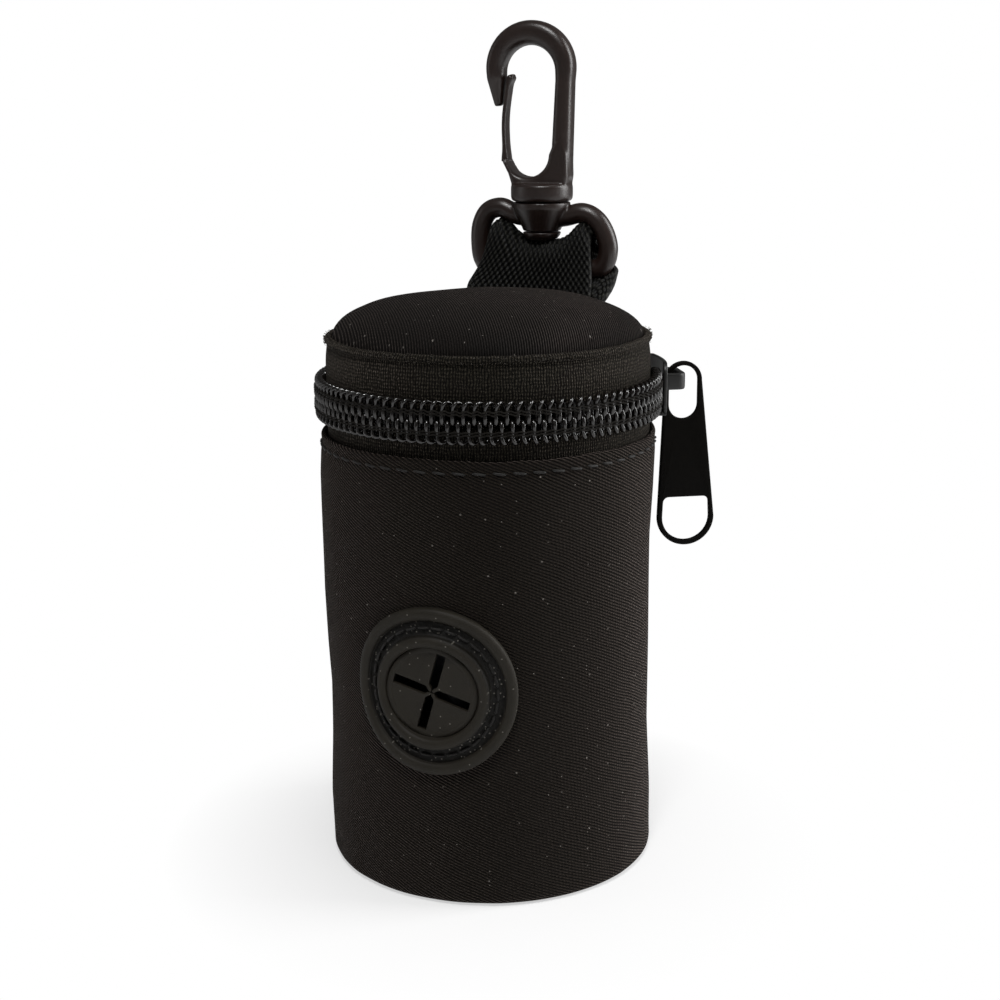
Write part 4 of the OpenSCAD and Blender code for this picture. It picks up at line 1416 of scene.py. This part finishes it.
# %% Mould the eye
plastic = Finish("hook_plastic", (0.013, 0.0085, 0.007), 0.33, Specular_IOR_Level=0.5)
flow = plastic.noise(plastic.place, 260.0, 3.0)
grainy = plastic.noise(plastic.place, 4200.0, 2.0)
plastic.colour(plastic.blend(flow, (0.010, 0.0055, 0.0042), (0.021, 0.012, 0.0095)))
plastic.bump(plastic.math("ADD", grainy, plastic.math("MULTIPLY", flow, 2.0)), 0.025)


def melted(name, grids, plates=(), voxel=0.17, rounds=5):
    """Melts closed grids and plates into one smooth skin."""
    rough = joined(name, [*[grid_piece(name, [g]) for g in grids], *plates])
    rough.data.transform(Matrix.Scale(1 / MM, 4))
    skin_of = rough.modifiers.new("skin", "REMESH")
    skin_of.mode = "VOXEL"
    skin_of.voxel_size = voxel
    settle(rough)
    smoothing = rough.modifiers.new("smoothing", "SMOOTH")
    smoothing.factor = 0.5
    smoothing.iterations = rounds
    settle(rough)
    rough.data.transform(Matrix.Scale(MM, 4))
    return rough


def upright(profile, sides=48):
    """A closed grid turned about an upright axis behind the pouch; the profile is (radius, height)."""
    t = 2 * math.pi * np.arange(sides) / sides
    return np.stack([np.stack([r * np.cos(t), bar_y + r * np.sin(t), 0 * t + z], -1) for r, z in profile])


rod_r = 1.6
axis_r = 0.05
arm_z = bar_z + 7.8
hub_low_z, hub_top_z = arm_z - 1.8, arm_z + 2.8
hub_r = 4.6


def smooth_loop(knots, steps=10):
    """A smooth closed line through a few (across, up) knots."""
    knots = np.array(knots, float)
    t = np.linspace(0, 1, steps, endpoint=False)[:, None]
    line = []
    for number in range(len(knots)):
        before, here, ahead, beyond = (knots[(number + k) % len(knots)] for k in (-1, 0, 1, 2))
        line.append(here + 0.5 * t * (ahead - before + t * (
            2 * before - 5 * here + 4 * ahead - beyond + t * (3 * here - before - 3 * ahead + beyond)
        )))
    return np.concatenate(line)


ring_knots = [
    (-8.2, 87.3), (0, 87.3), (8.2, 87.2), (10.4, 88.1), (11.1, 90.4), (10.5, 93.0), (9.0, 95.2),
    (6.7, 96.2), (3.2, 95.5), (-3.2, 95.6), (-5.1, 96.2), (-7.0, 96.9), (-9.1, 96.2), (-10.3, 94.0),
    (-10.5, 91.0), (-10.0, 88.4),
]
ring_points = np.array([(across, bar_y, up) for across, up in smooth_loop(ring_knots)])
ring_loop = np.concatenate([ring_points, ring_points[:3]])
hub_profile = [
    (axis_r, hub_low_z), (3.0, hub_low_z), (3.35, hub_low_z + 0.8), (4.0, hub_low_z + 2.2),
    (hub_r, hub_low_z + 3.6), (hub_r, hub_top_z - 0.15), (hub_r - 0.15, hub_top_z), (axis_r, hub_top_z),
]
ring_grid = tube(ring_loop, rod_r, (0, 1, 0), sides=20)
eye = melted("swivel_eye_ring", [ring_grid, upright(hub_profile)])
dress(eye, plastic, "eye", "hook_plastic", "swivel_eye")

# %% [markdown]
# The hook itself has a straight spine that leans a little, a round top bend, and a nose that tapers to
# a blunt tip. Its section is a rounded rectangle, flatter in front. Below, a block with a round throat
# stands on a collar, and its inner edge is chamfered. A thin springy gate grows out of the block's left
# side.

# %% Mould the hook
collar_z = hub_top_z + 0.1
collar_h, collar_r = 2.8, 5.0
collar_top = collar_z + collar_h
bend_x, bend_z = -1.75, collar_top + 17.6
hook_rod = 3.3
bend_r = 4.1 + hook_rod / 2
throat_r = 3.6
throat_x, throat_z = bend_x - 0.2, collar_top + 4.6
spine_lean, nose_lean, nose_l = -3.12, 6.4, 4.9
spine_foot = (throat_x + throat_r + hook_rod / 2, collar_top + 1.0)


def hook_line():
    """The rod's middle from the block up the spine, over the bend and down to the nose's tip."""
    top = arc((bend_x, bend_z), bend_r, spine_lean, 180 + nose_lean, 30)
    spine = [
        (spine_foot[0] + (top[0][0] - spine_foot[0]) * t, spine_foot[1] + (top[0][1] - spine_foot[1]) * t)
        for t in np.linspace(0, 1, 14)[:-1]
    ]
    a = math.radians(nose_lean)
    nose = [
        (top[-1][0] + math.sin(a) * nose_l * t * 0.55, top[-1][1] - math.cos(a) * nose_l * t)
        for t in np.linspace(0, 1, 10)[1:]
    ]
    return np.array([(px, bar_y, pz) for px, pz in spine + top + nose]), len(spine), len(top), len(nose)


hook_points, spine_n, bend_n, nose_n = hook_line()
deep = np.concatenate([
    np.full(spine_n, 2.1),
    np.linspace(2.1, 1.95, bend_n),
    np.linspace(1.9, 0.75, nose_n),
])
wide = np.concatenate([
    np.linspace(1.68, 1.45, spine_n),
    1.5 + 0.42 * np.sin(np.linspace(0.1, math.pi, bend_n)),
    np.linspace(1.5, 0.62, nose_n),
])
hook_grid = tube(hook_points, np.stack([deep, wide], -1), (0, 1, 0), sides=28, power=0.72)
block_right = spine_foot[0] + 1.75
block_outline = (
    [(-collar_r + 0.55, collar_top - 0.6), (block_right - 0.5, collar_top - 0.6)]
    + [(block_right - 0.2, collar_top + 1.2), (block_right - 0.3, throat_z)]
    + [(spine_foot[0] + 0.7, throat_z + 3.0), (spine_foot[0] - 0.9, throat_z + 1.6)]
    + arc((throat_x, throat_z), throat_r, 0, -172, 22)
    + [(throat_x - throat_r - 0.75, throat_z - 0.7), (-collar_r - 0.35, throat_z - 2.4)]
)


def stand_behind(points):
    """Stands a flat piece up behind the pouch."""
    return np.stack([points[:, 0], bar_y + points[:, 2], points[:, 1]], -1)


block = moved(plate("block", [block_outline], 4.6, 0.75, 4), stand_behind)
collar_profile = [
    (axis_r, collar_z), (collar_r - 0.45, collar_z), (collar_r - 0.12, collar_z + 0.25),
    (collar_r, collar_z + 0.7), (collar_r, collar_top - 0.45), (collar_r - 0.15, collar_top - 0.1),
    (collar_r - 0.45, collar_top), (axis_r, collar_top),
]
stem_r, stem_low, stem_high = 2.0, hub_low_z - 0.1, collar_z + 1
stem_profile = [(axis_r, stem_low), (stem_r, stem_low), (stem_r, stem_high), (axis_r, stem_high)]
hook_grids = [hook_grid, upright(collar_profile), upright(stem_profile)]
hook = melted("hook", hook_grids, [block], rounds=14)
dress(hook, plastic, "hook", "hook_plastic", "hook_body")

button_low, button_high = span("stem_button")
button_r = button_high[0]
button_profile = [
    (axis_r, button_low[2]), (button_r - 1.3, button_low[2] + 0.03), (button_r - 0.6, button_low[2] + 0.35),
    (button_r - 0.15, button_low[2] + 0.9), (button_r, button_high[2] - 0.1), (axis_r, button_high[2]),
]
button = melted("rivet_head", [upright(button_profile)], voxel=0.12, rounds=2)
dress(button, plastic, "hook", "hook_plastic", "stem_button")

gate_root = (throat_x - throat_r - 0.35, throat_z - 1.15)
gate_tip = (-5.1, bend_z - 0.6)
t = np.linspace(0, 1, 40)
hooked = np.clip((t - 0.9) / 0.1, 0, 1) ** 2
bow = 0.35 * np.sin(math.pi * t) ** 2
gate_x = gate_root[0] + (gate_tip[0] - gate_root[0]) * t ** 1.8 - bow + 0.45 * hooked
gate_z = gate_root[1] + (gate_tip[1] - gate_root[1]) * t
gate_line = np.stack([gate_x, 0 * t + bar_y, gate_z], -1)
end_round = np.sqrt(np.clip(1 - np.clip((t - 0.965) / 0.036, 0, 1) ** 2, 0.02, 1))
gate_wide = (0.36 + 0.2 * np.exp(-((t - 0.95) / 0.05) ** 2) + 0.25 * np.exp(-(t / 0.12) ** 2)) * end_round
gate_deep = (1.5 - 0.25 * t) * (0.4 + 0.6 * end_round)
gate = melted(
    "gate_tongue", [tube(gate_line, np.stack([gate_deep, gate_wide], -1), (0, 1, 0), sides=20, power=0.5)],
    voxel=0.12, rounds=2,
)
dress(gate, plastic, "gate", "hook_plastic", "hook_gate")

# %% [markdown]
# ## The roll of bags
# Inside stands a roll of thin bags on a card core. The film is wound in a spiral, so its ends show fine
# rings and its side shows one loose edge.

# %% Wind the bags
film = grained(
    "bag_film", (0.012, 0.012, 0.013), 0.35, 420.0, 4.0,
    dark=(0.008, 0.008, 0.009), light=(0.02, 0.02, 0.022), depth=0.25, Specular_IOR_Level=0.45,
)
roll_low, roll_high = span("bag_roll")
core_r = span("roll_core")[1][0]
film_r = roll_high[0]
rings = 64
end_rows = np.linspace(core_r + 0.06, film_r - 0.25, rings)
ridge = 0.22 * (np.arange(rings) % 2)
roll_profile = (
    [(r, roll_low[2] + s) for r, s in zip(end_rows, ridge)]
    + [(film_r, z) for z in np.linspace(roll_low[2] + 0.3, roll_high[2] - 0.3, 40)]
    + [(r, roll_high[2] - s) for r, s in zip(end_rows[::-1], ridge)]
)
loose = unevenness(71, finest=9, steepest=0.12)


def film_soften(radius, height, angle):
    """Lets the film's outer turn wander, and end in one loose edge."""
    outer = np.clip((radius - film_r + 1.2) / 1.2, 0, 1)
    overlap = 0.3 * ((angle / (2 * math.pi)) % 1)
    return radius - outer * (0.12 + 0.1 * loose(angle, height) + overlap), height


film_roll = turned("film_roll", roll_profile, steps=160, soften=film_soften)
dress(film_roll, film, "roll", "bag_film", "bag_roll")

card = grained(
    "card_tube", (0.3, 0.21, 0.12), 0.8, 700.0, 5.0,
    dark=(0.22, 0.15, 0.085), light=(0.38, 0.28, 0.17), depth=0.06,
)
refinish("roll_core", card)
